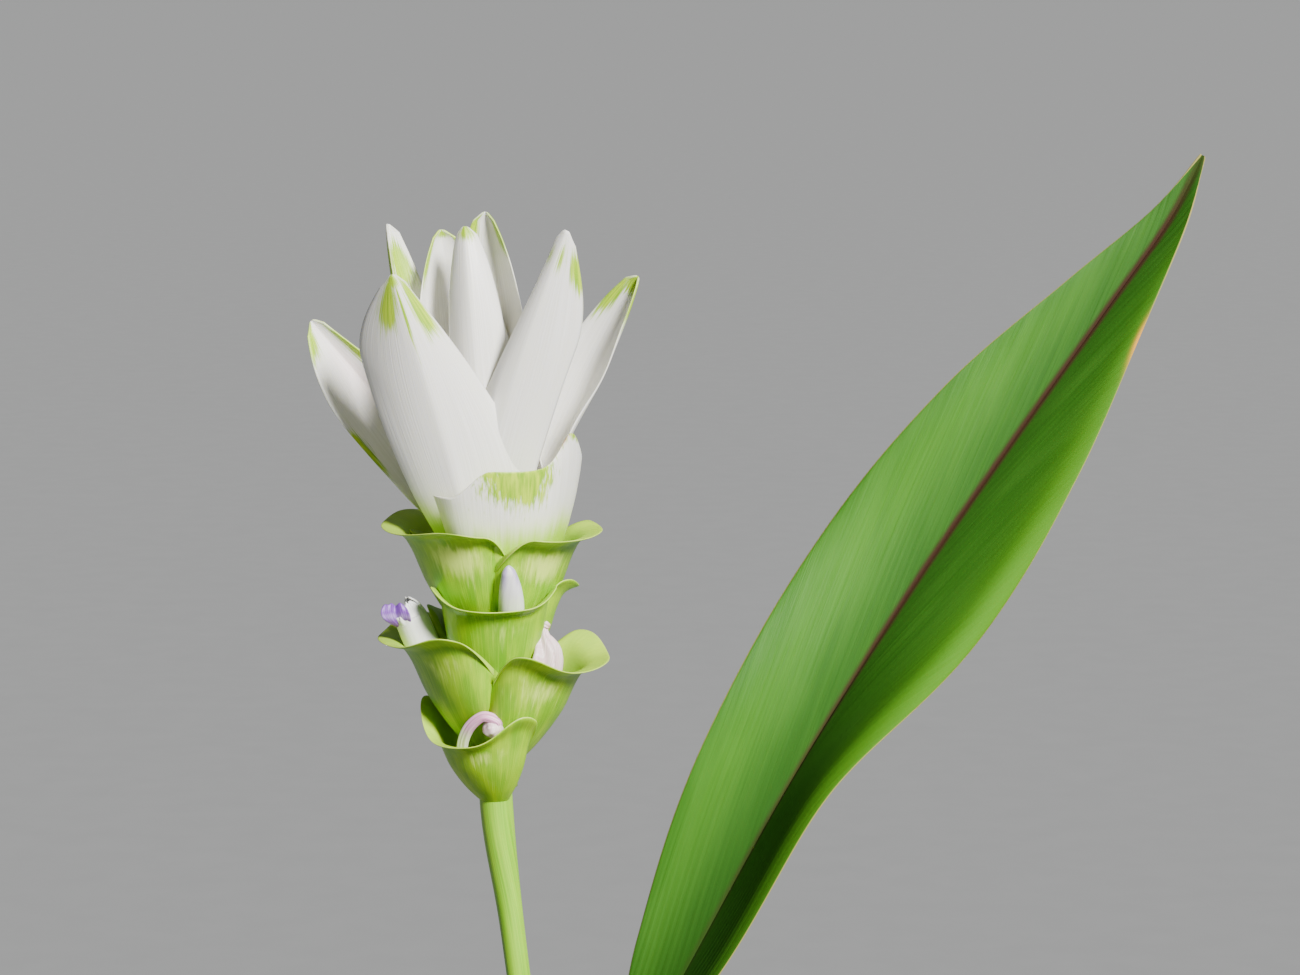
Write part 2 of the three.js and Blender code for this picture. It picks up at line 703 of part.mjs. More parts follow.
// An open floret: a tube with a throat, two upright lobes and a lip that hangs over the pouch's edge.
function openFloret() {
  const { tube, radii, throat, throatRadius, lobes, lobeRoot, lobeTaper, lip } = OPEN_FLORET;
  const { sides, lobeThickness, lobeRows, lobeCols } = FLORET;
  const [below, top] = spikeRoute(tube).slice(-2).map(vec);
  const axis = top.clone().sub(below).normalize();
  const outward = new THREE.Vector3(-1, 0, 0).addScaledVector(axis, axis.x).normalize();
  const round = axis.clone().cross(outward);
  const mouthRadius = radii[radii.length - 1];
  const onAxis = (height) => top.clone().addScaledVector(axis, height);
  const throatRoute = [onAxis(-throat).toArray(), onAxis(OVERRUN).toArray()];
  const hollow = roundStem(throatRoute, () => throatRadius, sides, 1);
  const beside = (angle, radius, height) =>
    onAxis(height)
      .addScaledVector(outward, radius * Math.cos(angle))
      .addScaledVector(round, radius * Math.sin(angle));
  const petal = (point) => blade(point, lobeRows, lobeCols, () => lobeThickness);
  const lobe = ({ turn, halfAngle, inward, rise }) =>
    petal((u, v) => {
      const angle = Math.PI + turn * RAD + (2 * v - 1) * halfAngle * (1 - lobeTaper * u ** 3);
      return beside(angle, mouthRadius - lobeThickness / 2 - inward * u * u, mix(lobeRoot, rise, u));
    });
  const tongue = petal((u, v) => {
    const angle = (2 * v - 1) * lip.halfAngle * (1 - lip.taper * u ** 3);
    return beside(angle, along(lip.out, u), along(lip.rise, u));
  });
  const body = floretStem(tube, radii).subtract(hollow);
  return wasm.Manifold.union([body, tongue, ...lobes.map(lobe)]);
}

// A faded floret: a closed sac with pleats.
function fadedFloret() {
  const { route, radii, pleats, pleatDepth, sidesPerPleat, twist } = FADED_FLORET;
  const pleat = (k) => 1 + pleatDepth * Math.cos((2 * Math.PI * k) / sidesPerPleat);
  const radius = (t, k) => along(radii, t) * pleat(k + twist * t);
  return roundStem(spikeRoute(route), radius, pleats * sidesPerPleat, FLORET.steps);
}

// Leaves

// A point of a leaf's cross-section, across the blade and up from the midrib, v from -1 to 1.
function sectionPoint(v, half, fold, curl, roll) {
  const side = Math.abs(v) / LEAF.sectionSteps;
  const margin = v > 0 ? roll * LEAF.leftRoll : roll;
  let across = 0;
  let up = 0;
  for (let k = 0; k < LEAF.sectionSteps; k++) {
    const s = (k + 0.5) * side;
    const angle = (fold + curl * s - margin * smooth((s - LEAF.rollFrom) / (1 - LEAF.rollFrom))) * RAD;
    across += Math.cos(angle) * half * side;
    up += Math.sin(angle) * half * side;
  }
  return [Math.sign(v) * across, up];
}

function leafPoint(leaf, t, v) {
  const [, , , half, face, fold, curl, roll] = along(leaf.stations, t);
  const midrib = (s) => vec(along(leaf.stations, s).slice(0, 3));
  const tangent = midrib(Math.min(t + 0.01, 1)).sub(midrib(Math.max(t - 0.01, 0))).normalize();
  const upper = new THREE.Vector3(Math.cos(face * RAD), Math.sin(face * RAD), leaf.lift);
  upper.addScaledVector(tangent, -upper.dot(tangent)).normalize();
  const across = upper.clone().cross(tangent);
  const [x, up] = sectionPoint(v, Math.max(half, LEAF.tipWidth), fold, curl, roll);
  const open = smooth((t - LEAF.waveFrom) / (1 - LEAF.waveFrom));
  const ripple = Math.sin(2 * Math.PI * LEAF.waves * t + LEAF.waveSkew * v);
  const wave = leaf.wave * open * v ** LEAF.waveEdge * ripple;
  return midrib(t).addScaledVector(across, x).addScaledVector(upper, up + wave);
}

function leaf(name) {
  const { stations } = LEAVES[name];
  const rows = (stations.length - 1) * LEAF.rowsPerStation;
  const solid = blade((u, v) => leafPoint(LEAVES[name], u, 2 * v - 1), rows, LEAF.cols, () => LEAF.thickness);
  return meshOf(solid, name, name === "basal_sheath" ? materials.sheath : materials.leaf);
}

const part = new THREE.Group();
part.add(pot(), soil(), rhizome());
part.add(meshOf(stem(), "flower_stem", materials.stem));
part.add(meshOf(greenBracts(), "green_bracts", materials.green_bract));
part.add(meshOf(whiteBracts(), "white_bracts", materials.white_bract));
const florets = {
  floret_bud: floretStem(BUD.route, BUD.radii),
  floret_open: openFloret(),
  floret_faded: fadedFloret(),
  floret_curled: floretStem(CURLED_FLORET.route, CURLED_FLORET.radii),
};
for (const [name, solid] of Object.entries(florets)) {
  part.add(meshOf(seated(solid), name, materials.floret));
}
part.add(...Object.keys(LEAVES).map(leaf));

export default part;
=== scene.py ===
"""Looks of a potted white Siam tulip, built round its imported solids.

Lengths are in millimetres until a mesh is made, and the forms' angles are in degrees.
+Z is up, and the camera looks along +Y. A sheet's upper or inner face is the side that faces the stem.
"""

import math

import bpy
import numpy as np
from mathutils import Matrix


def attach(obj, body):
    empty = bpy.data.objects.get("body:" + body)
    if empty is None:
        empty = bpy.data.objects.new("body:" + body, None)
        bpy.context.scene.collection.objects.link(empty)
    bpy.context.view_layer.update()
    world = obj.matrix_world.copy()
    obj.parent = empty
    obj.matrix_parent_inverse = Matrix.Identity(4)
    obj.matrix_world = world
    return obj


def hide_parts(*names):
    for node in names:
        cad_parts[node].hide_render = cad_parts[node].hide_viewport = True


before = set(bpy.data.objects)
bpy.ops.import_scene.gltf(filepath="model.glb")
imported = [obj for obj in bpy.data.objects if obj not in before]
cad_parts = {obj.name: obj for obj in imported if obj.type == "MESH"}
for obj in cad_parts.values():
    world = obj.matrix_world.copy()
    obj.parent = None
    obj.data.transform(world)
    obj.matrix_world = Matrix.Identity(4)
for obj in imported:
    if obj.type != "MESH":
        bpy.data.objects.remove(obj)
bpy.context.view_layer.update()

MM = 0.001
RAD = math.pi / 180
TAU = 2 * math.pi
rng = np.random.default_rng(12)

# Forms, as the solids have them

SHOOT_FOOT = 62.3
POT = dict(height=106, base=43, top=57, wall=4.6, floor=5, rim=22, step=3.4, edge=1.2, rounding=1.6)
DRAIN = dict(holes=4, radius=3, circle=20, cut=20)
SOIL = dict(top=93, relief=1.3, lump=22, shoot=7.6, clearance=0.6, bottom=5.3, edge=2, shoulder=3, hole=12)

STEM_ROUTE = [
    (0, 0, SHOOT_FOOT), (0, 0, 110), (-0.2, 0, 160), (-5, 0, 200),
    (-9.9, 0, 240), (-13.4, 0, 270), (-13.5, 0, 304), (-13.9, 0, 328),
]
STEM_RADII = [3.1, 2.9, 2.8, 2.7, 2.75, 3.7, 2.6, 1.7]
SPIKE_STATION = 5  # the point of the stem's route where the spike starts
SPIKE = dict(foot=STEM_ROUTE[SPIKE_STATION], height=127, bend=-5.5)

# How thick the sheets are, where a midrib adds rib to its leaf, and how far they waver
SHEET = dict(pouch=0.55, lip=0.36, crown=0.5, leaf=0.5, rib=0.6, petal=0.45)
RIPPLES = dict(lip_out=0.3, lip_up=0.25, crown=0.25, lobe=0.18, lobe_edge=0.35)

# Green pouches, from the lowest up. turn is the angle from the regular spiral, z0 the foot's height, tip and
# reach the lip's height and radius, and crest its rise at each side. A pouch closes on the stem at the angle
# belly from its midrib, and its lip at mouth. From the angle fall on, the lip plunges. pale is how strong the
# flecks are, aim the angle where they lie, and shade how deep the green is. The values before pale are the
# solid's, but for the lowest pouch's mouth and closing.
PHYLLOTAXY = 144
FIRST_POUCH = -116
POUCH_KEYS = "turn z0 tip reach crest belly mouth fall pale aim shade".split()
POUCHES = [
    dict(zip(POUCH_KEYS, row))
    for row in (
        (-6, -0.6, 13.8, 16.6, 7.3, 84, 83, 70, 0.6, 20, 0.1),
        (34, 6, 22, 16, 3, 90, 74, 56, 0.6, 0, 0.3),
        (20, 9, 36.3, 25.5, 3, 96, 76, 60, 0.45, 45, 0.6),
        (24, 6.5, 31, 25.2, 4.6, 92, 68, 54, 0.7, -35, 0.25),
        (0, 14, 39, 18, 3, 96, 74, 56, 0.6, 0, 0.3),
        (30, 19, 44.8, 19, 4.4, 92, 68, 60, 0.4, 10, 0.6),
        (4, 23, 46.8, 18.8, 3, 96, 74, 56, 0.6, 0, 0.3),
        (26, 33, 61.2, 24.4, 1.2, 98, 88, 70, 1.05, 48, 0.35),
        (24, 32, 59.8, 24.5, 1.4, 90, 66, 44, 1, -26, 0.35),
        (6, 35, 57, 21.5, 3, 96, 76, 60, 0.7, 0, 0.3),
    )
]
# ear holds what differs where phi is below 0: the lowest pouch's side stands up there, broad and round.
LOWEST_EAR = dict(crest=8.6, crest_at=70, crest_width=30, closing=8, belly=92, mouth=108, fall=96)
POUCHES[0] |= dict(crest_at=58, crest_width=27, closing=14, ear=LOWEST_EAR)
POUCH_WALL = [(0, 0), (0.27, 0.24), (0.52, 0.54), (0.68, 0.83), (0.8, 0.955), (1, 1)]
POUCH = dict(
    stem=3.2, span=102, closing=8, crest_at=52, crest_width=17,
    plunge=9, plunge_span=28, peak=0, peak_width=17,
)
FRONT_WALL = [(0, 0), (0.35, 0.2), (0.66, 0.46), (0.86, 0.72), (0.96, 0.9), (1, 1)]
FRONT_POUCH = dict(
    azimuth=-22, z0=37.7, tip=75.5, reach=20.3, crest=0, belly=112, mouth=122, fall=64,
    plunge=6, peak=7, span=106, ear=dict(belly=120, mouth=140),
)
COLLAR = dict(low=2.5, high=36.8, wall=1.2)

# White bracts. A bract runs from the height base by knee to tip, both given outward, sideways and up. half
# is its greatest half width, at the share widest of its length, which skew moves apart on its two sides.
# waist is the foot's share of half, blunt how round the tip is, twist the turn about the midrib, cup how far
# it curls across at foot, middle and tip, and ruffle the wave of its margin. foot is the share of the length
# where the lime starts to fade, and blush how pink the tip is. green holds patches, each at a share of the
# length and of the half width, with its radii along and across and its strength. azimuth, base, knee, tip,
# widest, skew and twist are the solid's, and the rest of the form is near it.
CROWN = {
    "far_left": dict(
        azimuth=138, base=43, knee=(11.2, -7.9, 64.7), tip=(38.6, 15.9, 105), half=11,
        skew=-0.26, blunt=0.4, twist=-34, ruffle=0.35, foot=0.28, blush=1,
        green=[(0.97, 0.9, 0.05, 0.4, 0.9), (0.86, -0.9, 0.14, 0.4, 1.1), (0.68, 1, 0.09, 0.16, 1.1)],
    ),
    "far_right": dict(
        azimuth=27, base=48.5, knee=(17.9, 6.7, 75.5), tip=(37.1, -10.1, 115.3), half=8.2,
        waist=0.95, widest=0.66, blunt=0.4, twist=6, ruffle=0.7,
        green=[(0.98, 0, 0.04, 1, 1.1), (0.94, -0.9, 0.07, 0.4, 1), (0.93, 0.85, 0.08, 0.35, 1)],
    ),
    "front_left": dict(
        azimuth=-101, base=41, knee=(16, -0.7, 61.9), tip=(23.5, -12.4, 117.8), half=14.7,
        cup=(1.1, 0.35, 0.8), widest=0.66, skew=0.18, blunt=0.25, twist=6, ruffle=0.25, foot=0.26,
        green=[
            (0.99, -0.2, 0.02, 0.7, 0.9), (0.93, 0.6, 0.07, 0.34, 1.15),
            (0.95, -0.45, 0.06, 0.3, 1.15), (0.93, 0, 0.09, 0.06, 0.9),
        ],
    ),
    "front_right": dict(
        azimuth=-85.7, base=45.6, knee=(8.9, -9.9, 66.3), tip=(21, 20.7, 127.1), half=9.9,
        waist=0.8, widest=0.49, skew=-0.32, blunt=0.2, twist=-21, ruffle=0.25,
        green=[(0.955, 0.3, 0.035, 0.35, 0.6), (0.94, 0.95, 0.04, 0.25, 0.85), (0.95, -0.6, 0.03, 0.4, 0.62)],
    ),
    "left": dict(
        azimuth=150, base=46, knee=(13, 7.5, 83), tip=(23, 0, 126.6), half=8.6, blunt=0.5,
        green=[(0.89, 0.5, 0.08, 0.6, 1.2), (0.9, -0.4, 0.07, 0.5, 1.1)],
    ),
    "back_low": dict(azimuth=60, base=42, knee=(12, 0, 62), tip=(19, 0, 80), half=12),
    "back": dict(
        azimuth=95, base=44, knee=(12, 0, 75), tip=(25, 0, 108), half=12, blunt=0.1,
        green=[(0.97, 0, 0.05, 0.9, 0.8), (0.85, 0.5, 0.1, 0.3, 0.9)],
    ),
    "back_right": dict(azimuth=48, base=46, knee=(10, 0, 80), tip=(25, 0, 110), half=11, blunt=0.1),
    "back_left": dict(azimuth=126, base=46, knee=(12, 0, 80), tip=(27, 0, 105), half=11, blunt=0.1),
    "inner_right": dict(
        azimuth=62, base=48, knee=(12, 0, 90), tip=(10.5, 0, 129.5), half=10, blunt=0.6,
        green=[(0.95, -0.85, 0.07, 0.4, 1), (0.93, 0.85, 0.1, 0.35, 1)],
    ),
    "inner_left": dict(
        azimuth=112, base=48, knee=(12, 2, 90), tip=(11.5, 3, 125.6), half=12, blunt=0.5,
        green=[(0.94, -0.95, 0.07, 0.25, 1), (0.93, 0.95, 0.1, 0.2, 1), (0.99, 0, 0.02, 0.9, 0.8)],
    ),
    "inner_front": dict(
        azimuth=-100, base=48, knee=(13, 1, 88), tip=(4.5, 0, 127), half=7.4, blunt=0.65,
        green=[(0.985, 0.1, 0.03, 0.7, 0.9)],
    ),
}
PLAIN_BRACT = dict(
    cup=(1.3, 0.58, 0.8), waist=0.34, widest=0.5, skew=0, blunt=0, twist=0, ruffle=0.2, foot=0.06, blush=0,
    green=[(0.97, 0, 0.05, 0.9, 0.8), (0.88, 0.5, 0.1, 0.4, 0.9)],
)
# tip_round is the share of the length over which the tip rounds off.
BLADE = dict(
    stem=3, taper=1.7, point=1.1, bluntness=0.8, tip_width=2, tip_round=0.019,
    keel=0.25, keel_softness=0.03, hook=2, hook_power=8,
)
HEART = dict(low=37.3, high=74, radius=4.6, top=1.2)

# Leaves: stations on the midrib, each x, y, z, half width, facing, rise, curl and margin roll.
# tone holds how strong the colour marks are, painted light and painted shade among them.
SHEATH_CURL = 166
FULL_TONE = dict(redness=1, painted_light=1, shade=1, scorch=1)
PLAIN_TONE = dict(redness=0.5, painted_light=0.5, shade=0.4, scorch=0)
LEAVES = {
    "leaf_main": dict(
        lift=0.35, wave=0.5, grid=(300, 96), slot="leaf", tone=FULL_TONE,
        stations=[
            *((3.38, 1.95, z, 11.3, 210, 0, SHEATH_CURL, 0) for z in (SHOOT_FOOT, 100, 146)),
            (3.6, 2.08, 166, 9, 208, 0, 116, 0),
            (9, 4.2, 188, 7.5, 215, 20, 60, 0),
            (19, 7.2, 209, 7, 222, 26, 25, 15),
            (30, 10, 228.6, 13.8, 230, 24, 10, 30),
            (53.9, 23.9, 268.8, 23, 239, 41, 6, 38),
            (81.1, 37.6, 309.7, 24.6, 250, 22, 6, 70),
            (105.3, 48.7, 343, 21, 254, 23, 6, 30),
            (127.4, 58.2, 372.3, 12, 254, 22, 6, 20),
            (143, 65, 393.2, 5.2, 254, 18, 6, 5),
            (151.6, 70, 408.9, 0.5, 254, 10, 0, 0),
        ],
    ),
    "leaf_second": dict(
        lift=0.9, wave=0.9, grid=(180, 72), slot="leaf", tone=PLAIN_TONE,
        stations=[
            *((-4.5, -2.39, z, 14.8, 28, 0, SHEATH_CURL, 0) for z in (SHOOT_FOOT, 100, 126)),
            (-6, -3.2, 147, 11.5, 28, 5, 110, 0),
            (-18, -8.6, 172, 8, 28, 30, 40, 5),
            (-40, -17, 195, 14, 28, 28, 10, 15),
            (-67, -26, 208, 15.5, 28, 20, 8, 20),
            (-88, -33, 208, 8.5, 28, 16, 6, 10),
            (-101, -38, 201, 0.5, 28, 10, 0, 0),
        ],
    ),
    "leaf_third": dict(
        lift=0.9, wave=0.9, grid=(180, 72), slot="leaf", tone=PLAIN_TONE,
        stations=[
            *((5.76, 2.56, z, 18.3, 204, 0, SHEATH_CURL, 0) for z in (SHOOT_FOOT, 92, 118)),
            (7.6, 3.4, 136, 13, 204, 5, 100, 0),
            (22, 9, 155, 9, 204, 28, 40, 5),
            (48, 17.5, 175, 15, 204, 26, 10, 15),
            (76, 26, 184, 16, 204, 20, 8, 20),
            (96, 33, 180, 8.5, 204, 16, 6, 10),
            (108, 37, 171, 0.5, 204, 10, 0, 0),
        ],
    ),
    "basal_sheath": dict(
        lift=0, wave=0, grid=(60, 96), slot="sheath", tone=PLAIN_TONE,
        stations=[
            *((-6.85, -3.05, z, 21.8, 24, 0, SHEATH_CURL, 0) for z in (SHOOT_FOOT, 80)),
            (-6.9, -3.08, 98, 21, 24, 0, 158, 0),
            (-7.4, -3.3, 110, 13, 24, 0, 98, 0),
            (-8.4, -3.75, 119, 1.2, 24, 0, 10, 0),
        ],
    ),
}
# vein_slope is how far a vein runs along the leaf for each step across it, and vein_pace how dense veins are.
LEAF = dict(
    tip_width=0.4, roll_from=0.7, left_roll=0.3, waves=5, wave_from=0.5, wave_edge=4, wave_skew=1.3,
    section_steps=12, vein_slope=5, vein_pace=0.316, pleat=2.4, pleat_depth=0.06,
    rib_width=1.3, rib_depth=0.25,
)

# Small maths


def mix(a, b, t):
    return a + (b - a) * t


def smooth(t):
    t = np.clip(t, 0, 1)
    return t * t * (3 - 2 * t)


def bell(x):
    return np.exp(-(x**2))


def unit(a):
    return a / np.maximum(np.linalg.norm(a, axis=-1, keepdims=True), 1e-9)


def dot(a, b):
    return (a * b).sum(-1, keepdims=True)


def gaps(points):
    """The distance from each point to the next."""
    return np.linalg.norm(np.diff(np.asarray(points, float), axis=0), axis=1)


def change(curve, t, step=0.01):
    """How far curve goes from a step before t to a step after it, within 0 to 1."""
    return curve(np.minimum(t + step, 1)) - curve(np.maximum(t - step, 0))


def along(points, t):
    """Points on the smooth line through evenly weighted points, for an array t from 0 to 1."""
    points = np.asarray(points, float)
    last = len(points) - 1
    at = np.clip(t, 0, 1) * last
    i = np.minimum(at.astype(int), last - 1)
    f = at - i
    if points.ndim > 1:
        f = f[..., None]
    p, q, r, s = (points[np.clip(i + k, 0, last)] for k in (-1, 0, 1, 2))
    return 0.5 * (2 * q + (r - p) * f + (2 * p - 5 * q + 4 * r - s) * f**2 + (3 * q - p - 3 * r + s) * f**3)


def turned(vector, axis, angle):
    """Vectors turned about unit axes by an array of angles."""
    c, s = np.cos(angle)[..., None], np.sin(angle)[..., None]
    return vector * c + np.cross(axis, vector) * s + axis * dot(axis, vector) * (1 - c)


def on_spike(p):
    """Spike coordinates to the part's frame."""
    p = np.asarray(p, float)
    bend = SPIKE["bend"] * np.maximum(p[..., 2] / SPIKE["height"], 0) ** 3
    return p + np.array(SPIKE["foot"]) + np.stack([bend, 0 * bend, 0 * bend], -1)


def ripple(x, y, seed):
    """Soft uneven waves over two coordinates, from about -1 to 1."""
    a, b, c = np.random.default_rng(seed).uniform(0, TAU, 3)
    return (np.sin(x + a) + np.sin(0.63 * x + y + b) + np.sin(1.7 * x - 0.8 * y + c)) / 2.2


# Meshes


def add_object(name, data):
    piece = bpy.data.objects.new(name, data)
    bpy.context.scene.collection.objects.link(piece)
    return piece


def mesh_object(name, vertices, faces, flow=None, marks=None):
    """A smooth shaded mesh. faces is a list of index arrays, one for each number of corners.

    For each vertex, flow holds two coordinates in centimetres, across and along the fibres, and marks holds
    named numbers.
    """
    mesh = bpy.data.meshes.new(name)
    mesh.vertices.add(len(vertices))
    mesh.vertices.foreach_set("co", (np.asarray(vertices, np.float32) * MM).ravel())
    corners = np.concatenate([f.ravel() for f in faces]).astype(np.int32)
    sizes = np.concatenate([np.full(len(f), f.shape[1]) for f in faces])
    starts = np.concatenate([[0], np.cumsum(sizes)[:-1]]).astype(np.int32)
    mesh.loops.add(len(corners))
    mesh.loops.foreach_set("vertex_index", corners)
    mesh.polygons.add(len(sizes))
    mesh.polygons.foreach_set("loop_start", starts)
    mesh.update(calc_edges=True)
    if flow is not None:
        layer = mesh.uv_layers.new(name="flow")
        layer.data.foreach_set("uv", np.asarray(flow, np.float32)[corners].ravel())
    for key, values in (marks or {}).items():
        values = np.asarray(values, np.float32).ravel()
        mesh.attributes.new(key, "FLOAT", "POINT").data.foreach_set("value", values)
    mesh.validate()
    mesh.shade_smooth()
    return add_object(name, mesh)


def dressed(piece, look, slot, *nodes):
    """Gives a piece its material and puts it in the place of solids. slot is not used."""
    piece.data.materials.append(look)
    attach(piece, "root")
    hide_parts(*nodes)
    return piece


def blade(name, point, grid, thickness, flow, marks, dress):
    """A thin closed sheet on the surface point(u, v). u goes from 0 to 1 along it, and v from 0 to 1 across.

    grid is its rows and columns, thickness, flow and marks are functions of u and v, and dress is its
    material, slot and node. The sheet's rim is thinner than its middle, and round.
    """
    rows, cols = grid
    u, v = np.meshgrid(np.linspace(0, 1, rows + 1), np.linspace(0, 1, cols + 1), indexing="ij")
    du = change(lambda s: point(s, v), u, 0.001)
    dv = change(lambda s: point(u, s), v, 0.001)
    normal = unit(np.cross(du, dv))
    i, j = np.indices(u.shape)
    rim = np.minimum(np.minimum(i, rows - i), np.minimum(j, cols - j))
    half = thickness(u, v) / 2 * np.select([rim == 0, rim == 1], [0.3, 0.8], 1.0)
    middle = point(u, v)
    faces = np.stack([middle + normal * half[..., None], middle - normal * half[..., None]])
    count = u.size
    index = np.arange(count).reshape(u.shape)
    quads = np.stack([index[:-1, :-1], index[1:, :-1], index[1:, 1:], index[:-1, 1:]], -1).reshape(-1, 4)
    loop = np.concatenate([index[:-1, 0], index[-1, :-1], index[:0:-1, -1], index[0, :0:-1]])
    after = np.roll(loop, -1)
    edge = np.stack([loop, loop + count, after + count, after], -1)
    both = {key: np.stack([value, value]) for key, value in marks(u, v).items()}
    both["under"] = np.stack([np.zeros(u.shape), np.ones(u.shape)])
    uv = np.stack([flow(u, v)] * 2).reshape(-1, 2)
    quads = [np.concatenate([quads, quads[:, ::-1] + count, edge])]
    return dressed(mesh_object(name, faces.reshape(-1, 3), quads, uv, both), *dress)


def even(thickness):
    """The same thickness all over a sheet."""
    return lambda u, v: thickness + 0 * u


def ring_faces(rings, sides):
    """The faces of a round shape, whose vertices go ring by ring, with its two end points after them."""
    count = rings * sides
    index = np.arange(count).reshape(rings, sides)
    turn = np.roll(index, -1, 1)
    quads = np.stack([index[:-1], turn[:-1], turn[1:], index[1:]], -1).reshape(-1, 4)
    first = np.stack([np.full(sides, count), turn[0], index[0]], -1)
    last = np.stack([np.full(sides, count + 1), index[-1], turn[-1]], -1)
    return [quads, first, last]


def tube(name, route, radius, grid, dress, marks=None):
    """A round stem along a route, closed at both ends. grid is its steps along the route and its sides.

    radius(t, a) is its radius at a share t of the route and at the angle a in radians.
    """
    steps, sides = grid
    t = np.linspace(0, 1, steps + 1)
    centre = along(route, t)
    tangent = unit(change(lambda s: along(route, s), t))
    side = unit(np.cross([0, 1, 0], tangent))
    front = np.cross(tangent, side)
    t, a = np.meshgrid(t, np.arange(sides) * TAU / sides, indexing="ij")
    r = radius(t, a)
    outward = np.cos(a)[..., None] * side[:, None] + np.sin(a)[..., None] * front[:, None]
    rings = centre[:, None] + r[..., None] * outward
    length = gaps(route).sum()
    flow = np.stack([np.abs(a - math.pi) * r, t * length], -1).reshape(-1, 2) / 10
    flow = np.concatenate([flow, [[0, 0], [0, length / 10]]])
    given = marks(t, a) if marks else {}
    given = {key: np.concatenate([value.ravel(), value[[0, -1], 0]]) for key, value in given.items()}
    vertices = np.concatenate([rings.reshape(-1, 3), centre[[0, -1]]])
    return dressed(mesh_object(name, vertices, ring_faces(steps + 1, sides), flow, given), *dress)


def plain_marks(**values):
    return lambda t, a: {key: value + 0 * t for key, value in values.items()}


# Materials


class Look:
    """A material as a short program: each call adds a node and gives back its output.

    tint is the colour so far, which paint covers and finished gives to the surface.
    """

    def __init__(self, name, settings):
        self.tint = None
        self.material = bpy.data.materials.new(name)
        self.material.use_nodes = True
        self.nodes = self.material.node_tree.nodes
        self.links = self.material.node_tree.links
        self.surface = self.nodes["Principled BSDF"]
        for key, value in settings.items():
            self.feed(self.surface.inputs[key], value)

    def feed(self, socket, value):
        if isinstance(value, bpy.types.NodeSocket):
            self.links.new(value, socket)
        else:
            socket.default_value = value

    def add(self, kind, inputs=(), output=0, **settings):
        node = self.nodes.new("ShaderNode" + kind)
        for key, value in settings.items():
            setattr(node, key, value)
        for key, value in dict(inputs).items():
            self.feed(node.inputs[key], value)
        return node.outputs[output]

    def mark(self, name):
        return self.add("Attribute", output="Fac", attribute_name=name)

    def noise(self, vector, repeats, detail, roughness):
        place = self.add("VectorMath", {0: vector, 1: repeats}, operation="MULTIPLY")
        return self.add("TexNoise", {"Vector": place, "Scale": 1, "Detail": detail, "Roughness": roughness})

    def fibres(self, across, along_it, detail=2, roughness=0.5):
        """Noise drawn out along the fibres, with a number of repeats in a centimetre each way."""
        return self.noise(self.add("UVMap", uv_map="flow"), (across, along_it, 1), detail, roughness)

    def grain(self, repeats, detail=3, roughness=0.5, rise=None):
        """Noise in the object's space, with a number of repeats in a metre, and rise of them upwards."""
        space = self.add("TexCoord", output="Object")
        return self.noise(space, (repeats, repeats, rise or repeats), detail, roughness)

    def math(self, operation, a, b=0):
        return self.add("Math", {0: a, 1: b}, operation=operation)

    def plus(self, a, b):
        return self.math("ADD", a, b)

    def times(self, a, b):
        return self.math("MULTIPLY", a, b)

    def ramp(self, value, low, high):
        """0 under low and 1 over high, with a soft step between them."""
        inputs = {"Value": value, "From Min": low, "From Max": high}
        return self.add("MapRange", inputs, interpolation_type="SMOOTHSTEP")

    def blend(self, share, a, b):
        colours = [(*c, 1) if isinstance(c, tuple) else c for c in (a, b)]
        return self.add("Mix", {0: share, 6: colours[0], 7: colours[1]}, output=2, data_type="RGBA")

    def streaks(self, mark, across, along_it, raggedness, softness=0.12):
        """A mark whose edge runs out in streaks along the fibres."""
        ragged = self.fibres(across, along_it, 3, 0.6)
        height = self.plus(mark, self.times(self.math("SUBTRACT", ragged, 0.5), raggedness))
        return self.ramp(height, 0.5 - softness, 0.5 + softness)

    def paint(self, share, tint, strength=1):
        """Covers the colour so far with a tint."""
        share = share if strength == 1 else self.times(share, strength)
        self.tint = self.blend(share, self.tint, tint)

    def finished(self, height=None, depth=0):
        """The material, with its colour, and a relief of a depth in millimetres where height is given."""
        self.feed(self.surface.inputs["Base Color"], self.tint)
        if height:
            inputs = {"Height": height, "Strength": 1, "Distance": depth * MM}
            self.feed(self.surface.inputs["Normal"], self.add("Bump", inputs, output="Normal"))
        return self.material


TISSUE = {
    "Roughness": 0.4,
    "Subsurface Weight": 0.2,
    "Subsurface Scale": 0.001,
    "Subsurface Radius": (1, 0.9, 0.5),
}


def white_look():
    """White bract: fine veins, a pale foot that turns lime, green streaks at the tips, and a scorch."""
    look = Look("white_bract", TISSUE)
    veins = look.fibres(30, 0.35)
    foot = look.mark("foot")
    look.tint = look.blend(look.ramp(veins, 0.35, 0.75), (0.84, 0.825, 0.77), (0.93, 0.92, 0.88))
    look.paint(look.ramp(look.fibres(1.6, 0.5), 0.45, 0.75), (0.87, 0.865, 0.79))
    look.paint(look.mark("blush"), (0.82, 0.64, 0.66), 0.6)
    look.paint(look.ramp(foot, 0, 0.9), (0.78, 0.86, 0.4))
    look.paint(look.streaks(foot, 12, 0.4, 0.5, 0.3), (0.42, 0.68, 0.02))
    green = look.blend(look.ramp(look.fibres(16, 0.7), 0.3, 0.7), (0.5, 0.7, 0.02), (0.24, 0.46, 0))
    look.paint(look.streaks(look.mark("green"), 22, 1.3, 1.5, 0.22), green)
    look.paint(look.ramp(look.mark("rim"), 0.3, 1), (0.66, 0.72, 0.34))
    look.paint(look.mark("scorch"), (0.26, 0.13, 0.045))
    return look.finished(veins, 0.07)


